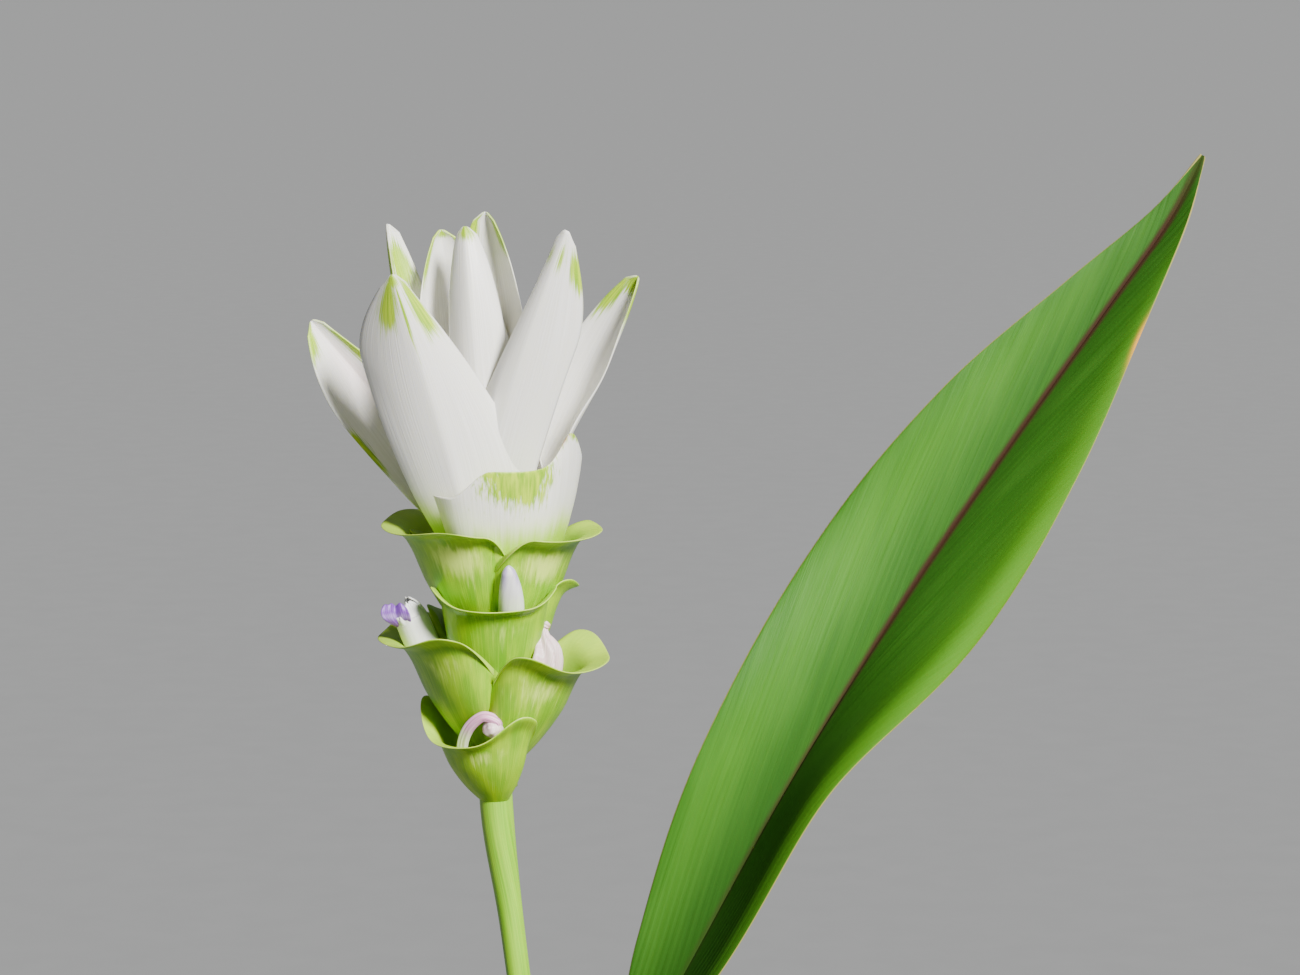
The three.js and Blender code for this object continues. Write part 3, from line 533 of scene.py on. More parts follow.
def green_look():
    """Pouch tissue: lime, with pale flecks in a patch under the lip, darker streaks and a pale thin rim.

    The inner face is painted paler than the outer one: painted light standing in for the light on the shaded
    insides.
    """
    look = Look("green_bract", TISSUE)
    veins = look.fibres(30, 0.5)
    look.tint = look.blend(look.ramp(look.fibres(2.4, 0.7), 0.35, 0.65), (0.2, 0.44, 0), (0.34, 0.58, 0))
    look.paint(look.streaks(look.mark("deep"), 9, 0.7, 0.8, 0.35), (0.1, 0.31, 0), 0.75)
    look.paint(look.streaks(look.mark("pale"), 10, 0.9, 1.3, 0.32), (0.74, 0.93, 0.17), 0.88)
    # Painted light: the inner face is painted paler.
    look.paint(look.math("SUBTRACT", 1, look.mark("under")), (0.58, 0.82, 0.08), 0.6)
    look.paint(look.ramp(veins, 0.45, 0.8), (0.52, 0.76, 0.01), 0.35)
    rim = look.times(look.ramp(look.mark("rim"), 0.3, 1), look.ramp(look.fibres(3, 1), 0.2, 0.6))
    look.paint(rim, (0.62, 0.78, 0.16), 0.6)
    return look.finished(veins, 0.07)


def leaf_look():
    """Leaf: slanting veins in dark and light stripes, a red-brown midrib, a pale edge and a paler underside.

    shade marks painted shade beside the midrib and down the fold, and the painted light mark a painted
    highlight on the curled margin with a painted sheen on the left half.
    """
    look = Look("leaf", {"Specular IOR Level": 0.14, "Subsurface Weight": 0.06, "Subsurface Scale": 0.001})
    fine = look.fibres(60, 0.25)
    stripes = look.fibres(8, 0.1)
    cloud = look.fibres(1.1, 0.35)
    striped = look.ramp(stripes, 0.2, 0.8)
    shade = look.mark("shade")
    look.tint = look.blend(striped, (0.02, 0.105, 0.005), (0.034, 0.145, 0.009))
    look.paint(look.ramp(cloud, 0.4, 0.7), (0.055, 0.185, 0.017), 0.4)
    look.paint(look.mark("under"), look.blend(striped, (0.06, 0.15, 0.03), (0.09, 0.2, 0.045)))
    look.paint(look.ramp(fine, 0.45, 0.8), (0.1, 0.28, 0.03), 0.25)
    look.paint(look.mark("sheath"), (0.26, 0.42, 0.08))
    # Painted light: the curled margin is painted bright, with a painted sheen on the left half.
    look.paint(look.mark("painted_light"), (0.13, 0.38, 0.008), 0.8)
    # Painted shade beside the midrib and down the fold.
    look.paint(shade, (0.008, 0.05, 0.001), 0.8)
    red = look.ramp(look.plus(look.mark("midrib"), look.times(look.fibres(30, 0.6), 0.3)), 0.3, 1)
    look.paint(look.times(red, look.mark("redness")), (0.035, 0.014, 0.006))
    scars = look.ramp(look.grain(260, 4, 0.7), 0.735, 0.76)
    look.paint(scars, (0.3, 0.36, 0.2), 0.4)
    look.paint(look.ramp(look.mark("rim"), 0.4, 1), (0.3, 0.27, 0.08))
    look.paint(look.mark("scorch"), (0.6, 0.28, 0.03))
    roughness = look.add("MapRange", {"Value": cloud, "To Min": 0.42, "To Max": 0.56})
    look.feed(look.surface.inputs["Roughness"], look.plus(roughness, look.times(shade, 0.3)))
    return look.finished(look.plus(fine, look.times(stripes, 0.7)), 0.08)


def stem_look():
    """Stem: green with fine lengthwise fibres."""
    look = Look("stem", {"Roughness": 0.4, "Subsurface Weight": 0.12, "Subsurface Scale": 0.0012})
    fine = look.fibres(24, 0.25)
    look.tint = look.blend(look.ramp(fine, 0.3, 0.75), (0.16, 0.42, 0.004), (0.28, 0.58, 0.01))
    look.paint(look.ramp(look.fibres(4, 0.3), 0.4, 0.7), (0.36, 0.64, 0.03), 0.5)
    return look.finished(fine, 0.05)


def floret_look(name, colours, tint, wrinkle):
    """Thin petal tissue: veins between two colours, and a tint where it is marked."""
    look = Look(name, TISSUE | {"Subsurface Weight": 0.1})
    veins = look.fibres(22, 0.8, 3)
    look.tint = look.blend(look.ramp(veins, 0.3, 0.75), *colours)
    look.paint(look.streaks(look.mark("tint"), 14, 1.2, 0.6, 0.35), tint)
    return look.finished(veins, wrinkle)


def clay_look():
    """Fired clay: matt, with fine grains, faint turning lines and a patchy bloom of lime."""
    look = Look("clay", {"Roughness": 0.88, "Specular IOR Level": 0.25})
    grain = look.grain(1500, 3, 0.6)
    look.tint = look.blend(look.ramp(look.grain(26), 0.35, 0.65), (0.3, 0.085, 0.035), (0.38, 0.12, 0.052))
    look.paint(look.ramp(grain, 0.55, 0.7), (0.48, 0.22, 0.12), 0.4)
    look.paint(look.ramp(look.grain(60, 5, 0.65), 0.52, 0.72), (0.5, 0.34, 0.26), 0.35)
    return look.finished(look.plus(look.times(grain, 0.5), look.grain(12, 2, rise=900)), 0.12)


def soil_look():
    """Potting soil: dark, damp in patches, with fine grains."""
    look = Look("soil", {"Roughness": 0.95, "Specular IOR Level": 0.2})
    grain = look.grain(900, 5, 0.7)
    look.tint = look.blend(look.ramp(grain, 0.35, 0.7), (0.012, 0.007, 0.004), (0.06, 0.032, 0.017))
    look.paint(look.ramp(look.grain(90), 0.45, 0.65), (0.034, 0.019, 0.011), 0.6)
    return look.finished(grain, 0.6)


def perlite_look():
    """Perlite: porous off-white grains."""
    look = Look("perlite", {"Roughness": 0.9})
    pores = look.grain(1400)
    look.tint = look.blend(look.ramp(pores, 0.35, 0.6), (0.45, 0.42, 0.38), (0.78, 0.76, 0.72))
    return look.finished(pores, 0.2)


def rhizome_look():
    """Rhizome: dull tan skin with rings."""
    look = Look("rhizome", {"Roughness": 0.8})
    rings = look.grain(60, rise=900)
    look.tint = look.blend(look.ramp(rings, 0.35, 0.65), (0.3, 0.17, 0.07), (0.5, 0.33, 0.16))
    return look.finished(rings, 0.3)


def floor_look():
    look = Look("floor", {"Roughness": 0.9, "Specular IOR Level": 0.1})
    look.tint = look.blend(look.grain(40), (0.21, 0.215, 0.22), (0.23, 0.235, 0.24))
    return look.finished()


# The dress of the bracts and the stem: material, record slot and the node that is replaced
WHITE = (white_look(), "white_bract", "white_bracts")
GREEN = (green_look(), "green_bract", "green_bracts")
LEAF_GREEN = leaf_look()
STEM = (stem_look(), "stem", "flower_stem")
BUD_LOOK = floret_look("floret_bud", ((0.8, 0.79, 0.82), (0.87, 0.86, 0.88)), (0.5, 0.42, 0.68), 0.05)
TUBE_LOOK = floret_look("floret_tube", ((0.84, 0.84, 0.82), (0.92, 0.92, 0.91)), (0.62, 0.7, 0.42), 0.08)
LIP_LOOK = floret_look("floret_lip", ((0.13, 0.03, 0.3), (0.27, 0.1, 0.5)), (0.6, 0.48, 0.78), 0.08)
FADED_LOOK = floret_look("floret_faded", ((0.74, 0.52, 0.56), (0.9, 0.8, 0.79)), (0.6, 0.42, 0.34), 0.16)
CURLED_LOOK = floret_look("floret_curled", ((0.6, 0.2, 0.42), (0.87, 0.58, 0.7)), (0.8, 0.82, 0.6), 0.1)

# Green pouches


def pouch_point(bract, wall, azimuth, phi, t, seed):
    """Points of a pouch: phi is the angle from its midrib in degrees, t runs from the stem to the lip."""
    form = {key: value + 0 * phi for key, value in (POUCH | bract).items() if key != "ear"}
    for key, value in bract.get("ear", {}).items():
        form[key] = np.where(phi < 0, value, form[key])
    profile = along(wall, t)
    off = np.abs(phi)
    close = mix(form["belly"], form["mouth"], smooth(t))
    hug = 1 / (1 + (off / close) ** form["closing"])
    lip = t**5 * smooth((form["mouth"] - off) / 20)
    r = form["stem"] + (form["reach"] - form["stem"]) * profile[..., 0] * hug
    r = r + RIPPLES["lip_out"] * ripple(phi / 16, 5 * t, seed) * lip
    crest = form["crest"] * bell((off - form["crest_at"]) / form["crest_width"])
    peak = form["peak"] * bell(phi / form["peak_width"])
    plunge = form["plunge"] * smooth((off - form["fall"]) / form["plunge_span"])
    z = form["z0"] + (form["tip"] - form["z0"]) * profile[..., 1] + (crest + peak - plunge) * t * t
    z = z + RIPPLES["lip_up"] * ripple(phi / 13, 3 * t, seed + 50) * lip
    a = (azimuth + phi) * RAD
    return on_spike(np.stack([r * np.cos(a), r * np.sin(a), z], -1))


def pouch_piece(name, bract, wall, azimuth, seed, marks, grid, dress):
    span = (POUCH | bract)["span"]
    mean_radius = 0.75 * bract["reach"]
    height = bract["tip"] - bract["z0"] + bract["reach"]

    def phi(v):
        return mix(-span, span, v)

    def point(u, v):
        return pouch_point(bract, wall, azimuth, phi(v), u, seed)

    def flow(u, v):
        return np.stack([phi(v) * RAD * mean_radius, u * height], -1) / 10 + seed

    def thickness(u, v):
        return mix(SHEET["pouch"], SHEET["lip"], smooth((u - 0.8) / 0.2))

    return blade(name, point, grid, thickness, flow, lambda u, v: marks(u, phi(v)), dress)


def pouch_marks(bract):
    """The colour marks of a green pouch, by the share of its height and the angle from its midrib."""

    def marks(u, phi):
        patch = 0.85 * bell((phi - bract["aim"]) / 22) * bell((u - 0.58) / 0.12)
        low = 0.3 * bell(phi / 60) * bell((u - 0.3) / 0.14)
        dark = bell((u - 0.78) / 0.08) + 0.6 * bell(phi / 12) + 0.5 * bell((u - 0.42) / 0.12)
        return {
            "pale": bract["pale"] * np.maximum(patch, low),
            "deep": 0.25 + 0.7 * bract["shade"] * dark,
            "rim": bell((1 - u) / 0.015),
        }

    return marks


for n, bract in enumerate(POUCHES):
    azimuth = FIRST_POUCH + PHYLLOTAXY * n + bract["turn"]
    pouch_piece(f"pouch_{n + 1}", bract, POUCH_WALL, azimuth, n, pouch_marks(bract), (44, 110), GREEN)


def core_route(core, steps):
    """A route up the middle of the spike, from the core's low end to its high one."""
    return [on_spike((0, 0, mix(core["low"], core["high"], k / steps))) for k in range(steps + 1)]


def collar_radius(t, a):
    foot_share = SPIKE_STATION / (len(STEM_ROUTE) - 1)
    stem_top = STEM_ROUTE[-1][2] - SPIKE["foot"][2]
    height = mix(COLLAR["low"], COLLAR["high"], t) / stem_top
    return along(STEM_RADII, mix(foot_share, 1, height)) + COLLAR["wall"]


collar_marks = plain_marks(pale=0.3, deep=0.3, rim=0, under=1)
tube("collar", core_route(COLLAR, 4), collar_radius, (24, 32), GREEN, collar_marks)

# White bracts


def crown_point(bract, t, v, seed):
    """Points of a crown bract: t runs from the stem to the tip, v from one edge, -1, to the other, 1."""
    a = bract["azimuth"] * RAD
    outward = np.array([math.cos(a), math.sin(a), 0])
    sideways = np.array([-math.sin(a), math.cos(a), 0])
    foot, knee, tip = np.array([(BLADE["stem"], 0, bract["base"]), bract["knee"], bract["tip"]], float)

    def midrib(s):
        s = s[..., None]
        p = (1 - s) ** 2 * foot + 2 * s * (1 - s) * knee + s * s * tip
        out = p[..., :1] - BLADE["hook"] * s ** BLADE["hook_power"]
        return out * outward + p[..., 1:2] * sideways + p[..., 2:] * np.array([0, 0, 1])

    tangent = unit(change(midrib, t))
    inward = unit(-outward - tangent * dot(-outward, tangent))
    across = unit(np.cross(inward, tangent))
    turn = bract["twist"] * smooth(2 * t) * RAD
    inward, across = turned(inward, tangent, turn), turned(across, tangent, turn)
    widest = bract["widest"] - bract["skew"] * v
    late = np.clip((t - widest) / (1 - widest), 0, 1)
    power = BLADE["point"] - BLADE["bluntness"] * bract["blunt"]
    early_shape = mix(bract["waist"], 1, smooth(t / widest))
    late_shape = (1 - late ** (BLADE["taper"] + bract["blunt"])) ** power
    half = bract["half"] * np.where(t < widest, early_shape, late_shape)
    half = np.sqrt(half**2 + (BLADE["tip_width"] * smooth(3 * t - 2)) ** 2)
    half = half * np.sqrt(np.clip((1 - t) / BLADE["tip_round"], 0.05, 1))
    low, middle, high = bract["cup"]
    cup = np.where(t < 0.5, mix(low, middle, smooth(2 * t)), mix(middle, high, 2 * t - 1))
    soft = BLADE["keel_softness"]
    keel = BLADE["keel"] * half * (np.sqrt(v * v + soft * soft) - soft)
    x = half * np.sin(cup * v) / cup
    depth = half * (1 - np.cos(cup * v)) / cup + keel
    depth = depth + RIPPLES["crown"] * ripple(3 * v, 7 * t, seed) * smooth(3 * (1 - t)) * smooth(3 * t)
    depth = depth + bract["ruffle"] * v**4 * np.sin(16 * t + 2 * v + seed) * smooth(4 * (0.95 - t))
    return on_spike(midrib(t) + across * x[..., None] + inward * depth[..., None])


def crown_piece(name, bract, seed):
    length = np.linalg.norm(np.subtract(bract["tip"], (BLADE["stem"], 0, bract["base"])))
    columns = 2 * round(1.7 * bract["half"])

    def share(u):
        """The share of the length at a row, with the rows closer together towards the tip."""
        return u * (1.8 - 0.8 * u)

    def point(u, v):
        return crown_point(bract, share(u), 2 * v - 1, seed)

    def flow(u, v):
        return np.stack([(2 * v - 1) * bract["half"] / 10 + 3 * seed, share(u) * length / 10 + seed], -1)

    def marks(u, v):
        u, v = share(u), 2 * v - 1
        green = 0 * u
        for at, side, long, wide, strength in bract["green"]:
            green = np.maximum(green, strength * bell((u - at) / long) * bell((v - side) / wide))
        return {
            "green": green,
            "foot": 1 - smooth((u - bract["foot"]) / 0.32),
            "rim": bell((1 - np.abs(v)) / 0.02) * smooth((u - 0.5) / 0.4) * 0.6,
            "scorch": 0 * u,
            "blush": bract["blush"] * bell((u - 0.86) / 0.1) * bell((v - 0.05) / 0.4),
        }

    blade(f"bract_{name}", point, (96, columns), even(SHEET["crown"]), flow, marks, WHITE)


for seed, (name, bract) in enumerate(CROWN.items()):
    crown_piece(name, PLAIN_BRACT | bract, seed)


def front_marks(u, phi):
    green = 1.1 * bell((phi + 46) / 26) * smooth((u - 0.5) / 0.35)
    tip = bell((u - 1) / 0.08) * bell(phi / 20)
    return {
        "green": np.maximum(green, 0.6 * tip),
        "foot": 1 - smooth((u - 0.34) / 0.36),
        "rim": np.maximum(bell((1 - u) / 0.02), bell((phi + FRONT_POUCH["span"]) / 3)) * 0.6,
        "scorch": bell((1 - u) / 0.02) * bell((phi + 8) / 5),
        "blush": 0 * u,
    }


pouch_piece("bract_front", FRONT_POUCH, FRONT_WALL, FRONT_POUCH["azimuth"], 31, front_marks, (44, 120), WHITE)
heart_marks = plain_marks(green=0, foot=0.7, rim=0, scorch=0, blush=0)
tube(
    "crown_heart", core_route(HEART, 2), lambda t, a: mix(HEART["radius"], HEART["top"], t), (12, 24),
    WHITE, heart_marks,
)

# Stem

tube("stem", STEM_ROUTE, lambda t, a: along(STEM_RADII, t), (120, 40), STEM)

# Florets


def spike_route(*route):
    return [on_spike(p) for p in route]


def folds(count, depth, wind):
    """Lengthwise folds, as a factor for a tube's radius."""
    return lambda t, a: 1 + depth * np.cos(count * a + wind * t)


def closing(t, share):
    """A factor that rounds off a tube's far end over a share of its length."""
    return np.sqrt(np.clip((1 - t) / share, 0.02, 1))


def floret_tube(node, part, route, radius, grid, look, tint):
    """A round part of a floret. tint(t, a) is how strong its tint is."""
    tube(f"{node}_{part}", route, radius, grid, (look, "floret", node), lambda t, a: {"tint": tint(t, a)})


# The bud stands between the wall of its own pouch and the two pouches over it.
BUD_ROUTE = spike_route(
    (2.4, -6.4, 32), (3.2, -8.2, 38), (4.2, -10.9, 43.4), (4.4, -15, 49.6), (4.2, -18, 54.8)
)
bud_fold = folds(3, 0.06, 2)
floret_tube(
    "floret_bud", "cone", BUD_ROUTE,
    lambda t, a: along([1.2, 1.8, 2.8, 2.4, 1.1], t) * bud_fold(t, a) * closing(t, 0.08),
    (60, 40), BUD_LOOK, lambda t, a: smooth((t - 0.6) / 0.35) * (0.5 + 0.35 * np.cos(3 * a + 1)),
)

# The faded floret is a crumpled sac, whose dry end hooks over to the right.
FADED_ROUTE = spike_route(
    (8.2, -4, 25), (10.2, -4.8, 29.5), (11, -5, 33.5), (10.5, -4.8, 37.4), (11, -4.8, 39.6), (12.4, -5, 39)
)
faded_fold = folds(7, 0.13, 3)


def faded_radius(t, a):
    crumple = 1 + 0.1 * ripple(3 * a, 9 * t, 41) + 0.05 * ripple(7 * np.cos(a), 16 * t, 42)
    return along([2.6, 4.4, 3.9, 1.9, 1.1, 0.6], t) * faded_fold(t, a) * crumple * closing(t, 0.04)


floret_tube(
    "floret_faded", "sac", FADED_ROUTE, faded_radius, (90, 72), FADED_LOOK,
    lambda t, a: 0.9 * smooth((t - 0.8) / 0.2),
)

# The curled floret rises from inside the lowest pouch and hangs over, with its shrunken end as a lump.
CURLED_ROUTE = spike_route(
    (-4.1, -6.2, 6), (-6.9, -8.9, 12), (-5.6, -12, 17.6), (-2.2, -13.8, 20.9),
    (0.9, -13.8, 20), (1.3, -13.4, 18.8),
)
LUMP_ROUTE = spike_route((1.4, -13.2, 20), (0.6, -13, 18.9), (-0.4, -12.8, 17.6), (-1.2, -12.7, 16.3))
curled_fold = folds(2, 0.24, 2.5)
curled_crease = folds(7, 0.07, 5)
floret_tube(
    "floret_curled", "tube", CURLED_ROUTE,
    lambda t, a: along([0.9, 1, 1.05, 1, 1, 0.9], t) * curled_fold(t, a) * curled_crease(t, a),
    (100, 48), CURLED_LOOK, lambda t, a: 1 - smooth((t - 0.25) / 0.3),
)


def lump_radius(t, a):
    crumple = 1 + 0.12 * ripple(2 * a, 5 * t, 43) + 0.06 * ripple(6 * np.cos(a), 12 * t, 44)
    return along([0.9, 2.2, 2.3, 1.5], t) * crumple * closing(t, 0.15)


floret_tube(
    "floret_curled", "lump", LUMP_ROUTE, lump_radius, (40, 48), FADED_LOOK,
    lambda t, a: 0.3 * smooth((t - 0.6) / 0.4),
)

# The open floret: a tube rolled from one sheet, lobes round its mouth and a violet lip
OPEN_ROUTE = spike_route((-12.6, -2.6, 27), (-15.2, -3.2, 33.7), (-18.3, -3.9, 41.6))
OPEN_RADII = [2.9, 3.8, 3.7]
OPEN_AXIS = unit(OPEN_ROUTE[-1] - OPEN_ROUTE[-2])
OPEN_OUT = unit(np.array([-1.0, 0, 0]) + OPEN_AXIS * OPEN_AXIS[0])
OPEN_ROUND = np.cross(OPEN_AXIS, OPEN_OUT)
LOBE_FOOT = -1.5  # the height of a lobe's foot over the tube's mouth
# Lobes: the turn round the mouth, half the angle in radians, how far each leans in and how high it is
OPEN_LOBES = [(52, 1.2, 2, 3.6), (-52, 1.2, 2.2, 3), (180, 0.9, 1.6, 1.4), (-120, 0.55, -0.5, 1.1)]
LIP_MIDDLE = [(-19.6, -5.4, 39.2), (-20.6, -6.9, 41), (-21.2, -7.3, 43), (-21.4, -6.7, 45)]
LIP_HALF = [1.4, 2.8, 3.1, 2.5]


def beside(angle, radius, height):
    """A point beside the open floret's mouth, for an angle in radians."""
    sideways = np.cos(angle)[..., None] * OPEN_OUT + np.sin(angle)[..., None] * OPEN_ROUND
    return OPEN_ROUTE[-1] + height[..., None] * OPEN_AXIS + radius[..., None] * sideways


def cup_point(u, v):
    """The open floret's wall: up the outside from its foot to the mouth, as one sheet rolled round."""
    angle = TAU * v
    radius = along(OPEN_RADII, u) * (1 + 0.03 * np.cos(3 * angle + 1))
    return beside(angle, radius - SHEET["petal"] / 2, (u - 1) * gaps(OPEN_ROUTE).sum())


def lobe_point(turn, half_angle, inward, rise, seed):
    def point(u, v):
        angle = math.pi + turn * RAD + (2 * v - 1) * half_angle * (1 - 0.7 * u**3)
        radius = OPEN_RADII[-1] - SHEET["petal"] / 2 - inward * u * u
        radius = radius + RIPPLES["lobe"] * ripple(9 * v, 6 * u, seed) * u
        height = mix(LOBE_FOOT, rise, u) + RIPPLES["lobe_edge"] * ripple(14 * v, 0 * u, seed + 5) * u
        return beside(angle, radius, height)

    return point


def lip_point(u, v):
    """The violet lip: broad, folded along its middle, with a notched edge and its sides curled forward."""
    side = 2 * v - 1
    middle = along(LIP_MIDDLE, u)
    x = along(LIP_HALF, u) * side
    y = -1.2 * side**2 * smooth(2 * u) + 0.35 * np.cos(7 * side) * u
    z = -(0.9 * bell(side / 0.25) + 0.9 * side**2 + 0.2 * np.sin(9 * side)) * u**3
    return on_spike(middle + np.stack([x, y, z], -1))


def petal(name, point, grid, look, tint):
    """A sheet of the open floret. tint(u, v) is how strong its tint is."""

    def flow(u, v):
        return np.stack([v * 1.2, u * 1.2], -1)

    def marks(u, v):
        return {"tint": tint(u, v)}

    dress = (look, "floret", "floret_open")
    blade("floret_open_" + name, point, grid, even(SHEET["petal"]), flow, marks, dress)


petal("tube", cup_point, (40, 56), TUBE_LOOK, lambda u, v: 0.7 * (1 - smooth(u / 0.35)))
for n, lobe in enumerate(OPEN_LOBES):
    petal(f"lobe_{n + 1}", lobe_point(*lobe, 70 + n), (24, 32), TUBE_LOOK, lambda u, v: 0 * u)
petal("lip", lip_point, (28, 32), LIP_LOOK, lambda u, v: 0.4 * bell((u - 0.5) / 0.2))

# Leaves


def section_point(v, half, fold, curl, roll):
    """Points of a leaf's cross-section, across the blade and up from the midrib, v from -1 to 1."""
    side = np.abs(v) / LEAF["section_steps"]
    margin = np.where(v > 0, roll * LEAF["left_roll"], roll)
    across, up = 0 * v, 0 * v
    for k in range(LEAF["section_steps"]):
        s = (k + 0.5) * side
        angle = fold + curl * s - margin * smooth((s - LEAF["roll_from"]) / (1 - LEAF["roll_from"]))
        across = across + np.cos(angle * RAD) * half * side
        up = up + np.sin(angle * RAD) * half * side
    return np.sign(v) * across, up


def leaf_length(leaf, t):
    """How far along the midrib t is, in millimetres."""
    fine = np.linspace(0, 1, 400)
    steps = gaps(along(leaf["stations"], fine)[:, :3])
    return np.interp(t, fine, np.concatenate([[0], np.cumsum(steps)]))


def vein_place(leaf, t, distance):
    """Which vein lies at a distance from the midrib: the same number all along a vein."""
    return (leaf_length(leaf, t) - LEAF["vein_slope"] * distance) * LEAF["vein_pace"]


def opened(curl, span=90):
    """How far a leaf has opened from its rolled sheath, from 0 to 1."""
    return smooth((140 - curl) / span)


def leaf_point(leaf, t, v):
    rows = along(leaf["stations"], t)
    half, face, fold, curl, roll = (rows[..., k] for k in range(3, 8))
    tangent = unit(change(lambda s: along(leaf["stations"], s)[..., :3], t))
    upper = np.stack([np.cos(face * RAD), np.sin(face * RAD), leaf["lift"] + 0 * face], -1)
    upper = unit(upper - tangent * dot(upper, tangent))
    across = np.cross(upper, tangent)
    half = np.maximum(half, LEAF["tip_width"])
    x, up = section_point(v, half, fold, curl, roll)
    open_part = smooth((t - LEAF["wave_from"]) / (1 - LEAF["wave_from"]))
    wave = np.sin(TAU * LEAF["waves"] * t + LEAF["wave_skew"] * v)
    up = up + leaf["wave"] * open_part * v ** LEAF["wave_edge"] * wave
    # Pleats along the veins, and the midrib sunk into the upper face
    distance = half * np.abs(v)
    fade = smooth(distance / 4) * smooth(5 * (1 - np.abs(v)))
    pleats = np.sin(TAU * vein_place(leaf, t, distance) / LEAF["pleat"])
    up = up + LEAF["pleat_depth"] * pleats * fade * opened(curl)
    up = up - LEAF["rib_depth"] * bell(half * v / LEAF["rib_width"]) * opened(curl)
    return rows[..., :3] + across * x[..., None] + upper * up[..., None]


def painted_fold_shade(u, distance):
    """Painted shade beside the midrib: how dark the leaf is painted there, a band on the right half, and a
    softer one on the left half.

    The right band grows stronger towards the tip and the left one towards the foot.
    """
    right_width = mix(12, 7, smooth((u - 0.45) / 0.4))
    right = np.where(distance < 0, bell(distance / right_width), bell(distance / 2))
    left_width = mix(15, 9, smooth((u - 0.4) / 0.3))
    left = np.where(distance > 0, bell(distance / left_width), 1) * mix(1.15, 0.55, smooth((u - 0.45) / 0.25))
    return np.maximum(right * mix(0.8, 1, smooth((u - 0.5) / 0.2)), left)


def leaf_piece(name, leaf):
    tone = leaf["tone"]

    def row(u):
        """The half width and the curl at a share of the length."""
        stations = along(leaf["stations"], u)
        return stations[..., 3], stations[..., 6]

    def point(u, v):
        return leaf_point(leaf, u, 2 * v - 1)

    def thickness(u, v):
        half, curl = row(u)
        rib = bell(half * (2 * v - 1) / LEAF["rib_width"]) * opened(curl) * smooth(6 * (1 - u))
        return SHEET["leaf"] + SHEET["rib"] * rib

    def flow(u, v):
        distance = row(u)[0] * np.abs(2 * v - 1)
        return np.stack([vein_place(leaf, u, distance) / 10 + 40 * (v > 0.5), leaf_length(leaf, u) / 10], -1)

    def marks(u, v):
        half, curl = row(u)
        v = 2 * v - 1
        blade_part = opened(curl, 100)
        # light is painted light on the curled margin and a painted sheen on the left half; shade below is
        # painted shade.
        light = np.maximum(bell((1 + v) / 0.3), 0.2 * bell((v - 0.65) / 0.3))
        redness = smooth((u - 0.42) / 0.25) * (1 - 0.6 * smooth((u - 0.9) / 0.1))
        return {
            "midrib": bell(half * v / LEAF["rib_width"]) * blade_part,
            "redness": tone["redness"] * redness,
            "painted_light": tone["painted_light"] * light * blade_part * smooth(3 * (1 - u)),
            "shade": tone["shade"] * painted_fold_shade(u, half * v) * blade_part,
            "sheath": (1 - blade_part) * 0.8,
            "rim": bell((1 - np.abs(v)) * half / 0.25) * blade_part,
            "scorch": tone["scorch"] * bell((u - 0.827) / 0.014) * bell((v + 1) / 0.06),
        }

    blade(name + "_blade", point, leaf["grid"], thickness, flow, marks, (LEAF_GREEN, leaf["slot"], name))


for name, leaf in LEAVES.items():
    leaf_piece(name, leaf)

# Pot and soil


def lathe(name, profile, segments, relief=None):
    """A turned shape from (radius, height) points that start and end on the axis.

    relief(r, z, a) gives the heights anew.
    """
    profile = np.asarray(profile, float)
    a = np.arange(segments) * TAU / segments
    r, z = (np.repeat(column[:, None], segments, axis=1) for column in profile[1:-1].T)
    if relief:
        z = relief(r, z, a)
    rings = np.stack([r * np.cos(a), r * np.sin(a), z], -1).reshape(-1, 3)
    poles = [[0, 0, height] for height in profile[[0, -1], 1]]
    return mesh_object(name, np.concatenate([rings, poles]), ring_faces(len(profile) - 2, segments))


def rounded(points, radius, steps=4):
    """A profile whose inner corners are rounded off."""
    points = [np.array(p, float) for p in points]
    out = [points[0]]
    for before, corner, after in zip(points, points[1:], points[2:]):
        sides = [side - corner for side in (before, after)]
        near, far = (corner + unit(side) * min(radius, np.linalg.norm(side) * 0.45) for side in sides)
        for s in np.linspace(0, 1, steps + 1):
            out.append((1 - s) ** 2 * near + 2 * s * (1 - s) * corner + s * s * far)
    out.append(points[-1])
    return out


def pot_radius(z):
    return mix(POT["base"], POT["top"], z / POT["height"])


def drain_cutter(k):
    a = TAU * (k + 0.5) / DRAIN["holes"]
    bpy.ops.mesh.primitive_cylinder_add(vertices=32, radius=DRAIN["radius"] * MM, depth=DRAIN["cut"] * MM)
    cutter = bpy.context.object
    cutter.location = (DRAIN["circle"] * math.cos(a) * MM, DRAIN["circle"] * math.sin(a) * MM, 0)
    return cutter


def pot_piece():
    height, edge, wall, step, floor = (POT[key] for key in ("height", "edge", "wall", "step", "floor"))
    rim_foot = height - POT["rim"]
    outline = [
        (0, 0),
        (POT["base"], 0),
        (pot_radius(rim_foot), rim_foot),
        (pot_radius(rim_foot) + step, rim_foot + edge),
        (POT["top"] + step, height),
        (POT["top"] - wall, height),
        (pot_radius(floor) - wall, floor),
        (0, floor),
    ]
    piece = lathe("pot_wall", rounded(outline, POT["rounding"]), 160)
    cutters = [drain_cutter(k) for k in range(DRAIN["holes"])]
    for cutter in cutters:
        hole = piece.modifiers.new("hole", "BOOLEAN")
        hole.object = cutter
        hole.operation = "DIFFERENCE"
    bpy.context.view_layer.update()
    cut = bpy.data.meshes.new_from_object(piece.evaluated_get(bpy.context.evaluated_depsgraph_get()))
    piece.modifiers.clear()
    piece.data = cut
    for cutter in cutters:
        bpy.data.objects.remove(cutter)
    cut.set_sharp_from_angle(angle=35 * RAD)
    dressed(piece, clay_look(), "clay", "pot")


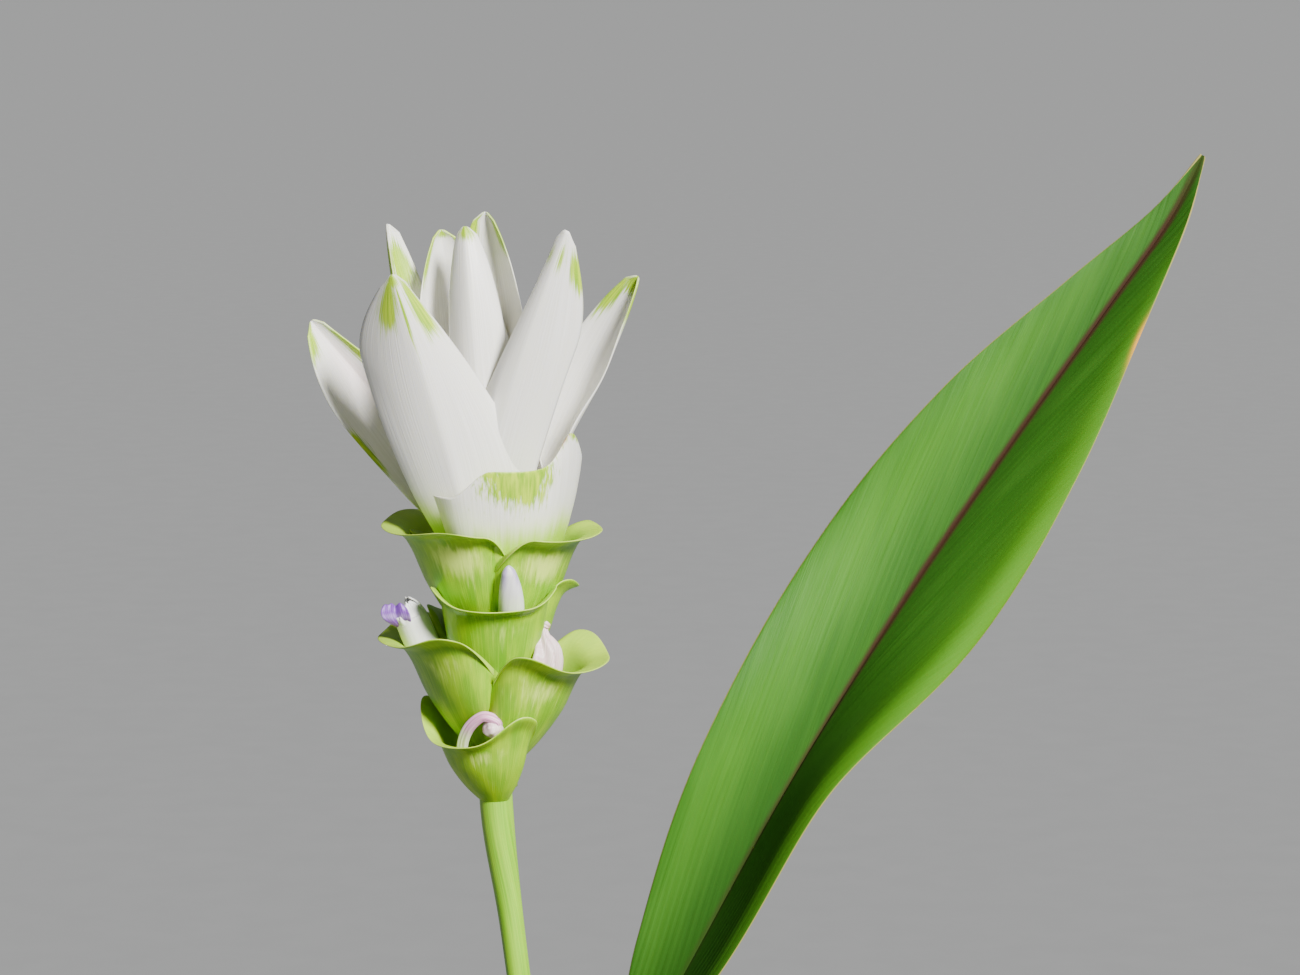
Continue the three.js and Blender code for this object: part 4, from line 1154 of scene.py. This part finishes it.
def soil_height(x, y):
    broad = TAU / SOIL["lump"]
    fine = 2 * broad
    lumps = (np.sin(broad * x + 1) * np.cos(broad * y) + 0.6 * np.sin(fine * x - broad * y)) / 1.6
    crumb = 0.45 * ripple(1.1 * x, 1.3 * y, 5) * ripple(0.9 * y, 1.5 * x, 6)
    return SOIL["top"] + SOIL["relief"] * lumps + crumb + 0.25 * ripple(2.9 * x, 2.6 * y, 8)


def soil_piece():
    bottom, top, shoot = (SOIL[key] for key in ("bottom", "top", "shoot"))
    shoulder, hole = top - SOIL["shoulder"], top - SOIL["hole"]

    def inner(z):
        return pot_radius(z) - POT["wall"] - SOIL["clearance"]

    def relief(r, z, a):
        return np.where(z < top, z, soil_height(r * np.cos(a), r * np.sin(a)))

    radii = np.linspace(inner(top - SOIL["edge"]), shoot, 70)
    profile = [(0, bottom), (inner(bottom), bottom), (inner(shoulder), shoulder)]
    profile += [(r, top) for r in radii] + [(shoot, hole), (0, hole)]
    dressed(lathe("soil_bed", profile, 220, relief), SOIL_LOOK, "soil", "soil")


def grains(name, count, smallest, largest, look):
    """Loose grains on the soil, each an uneven lump, in one mesh."""
    bpy.ops.mesh.primitive_ico_sphere_add(subdivisions=2, radius=1)
    ball = bpy.context.object
    corners = np.array([v.co for v in ball.data.vertices])
    triangles = np.array([p.vertices for p in ball.data.polygons])
    bpy.data.objects.remove(ball)
    nearest, farthest = SOIL["shoot"] + 3, pot_radius(SOIL["top"]) - 8
    vertices, faces = [], []
    for k in range(count):
        radius = math.sqrt(rng.uniform(nearest**2, farthest**2))
        a = rng.uniform(0, TAU)
        size = mix(smallest, largest, rng.uniform() ** 2.5)
        stretch = rng.uniform(0.65, 1.25, 3)
        lump = 1 + 0.22 * ripple(3 * corners[:, 0] + k, 3 * corners[:, 1] + 2 * corners[:, 2], k)
        x, y = radius * math.cos(a), radius * math.sin(a)
        z = soil_height(np.array(x), np.array(y)) + 0.35 * size
        vertices.append(corners * lump[:, None] * stretch * size + [x, y, z])
        faces.append(triangles + k * len(corners))
    piece = mesh_object(name, np.concatenate(vertices), [np.concatenate(faces)])
    dressed(piece, look, "soil", "soil")


SOIL_LOOK = soil_look()
pot_piece()
soil_piece()
grains("soil_crumbs", 700, 0.35, 1.7, SOIL_LOOK)
grains("perlite", 60, 0.5, 1.5, perlite_look())
rhizome_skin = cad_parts["rhizome"].data.materials
rhizome_skin.clear()
rhizome_skin.append(rhizome_look())

# Stage, in metres


def stage():
    bpy.ops.mesh.primitive_plane_add(size=400)
    floor = bpy.context.object
    floor.name = "floor"
    floor.data.materials.append(floor_look())
    world = bpy.data.worlds.new("studio")
    world.use_nodes = True
    sky = world.node_tree.nodes["Background"].inputs
    sky["Color"].default_value = (0.9, 0.95, 1, 1)
    sky["Strength"].default_value = 0.12
    bpy.context.scene.world = world
    key = bpy.data.lights.new("key", "SUN")
    key.energy = 10
    key.angle = 14 * RAD
    key.color = (1, 0.98, 0.95)
    add_object("key", key).rotation_euler = (57 * RAD, 0, 33 * RAD)


def camera():
    lens = bpy.data.cameras.new("camera")
    lens.lens = 100
    lens.sensor_width = 36
    lens.clip_end = 1000
    eye = add_object("camera", lens)
    eye.location = (0.0209, -0.7863, 0.4499)
    eye.rotation_euler = (82 * RAD, 0, 0)
    bpy.context.scene.camera = eye


stage()
camera()
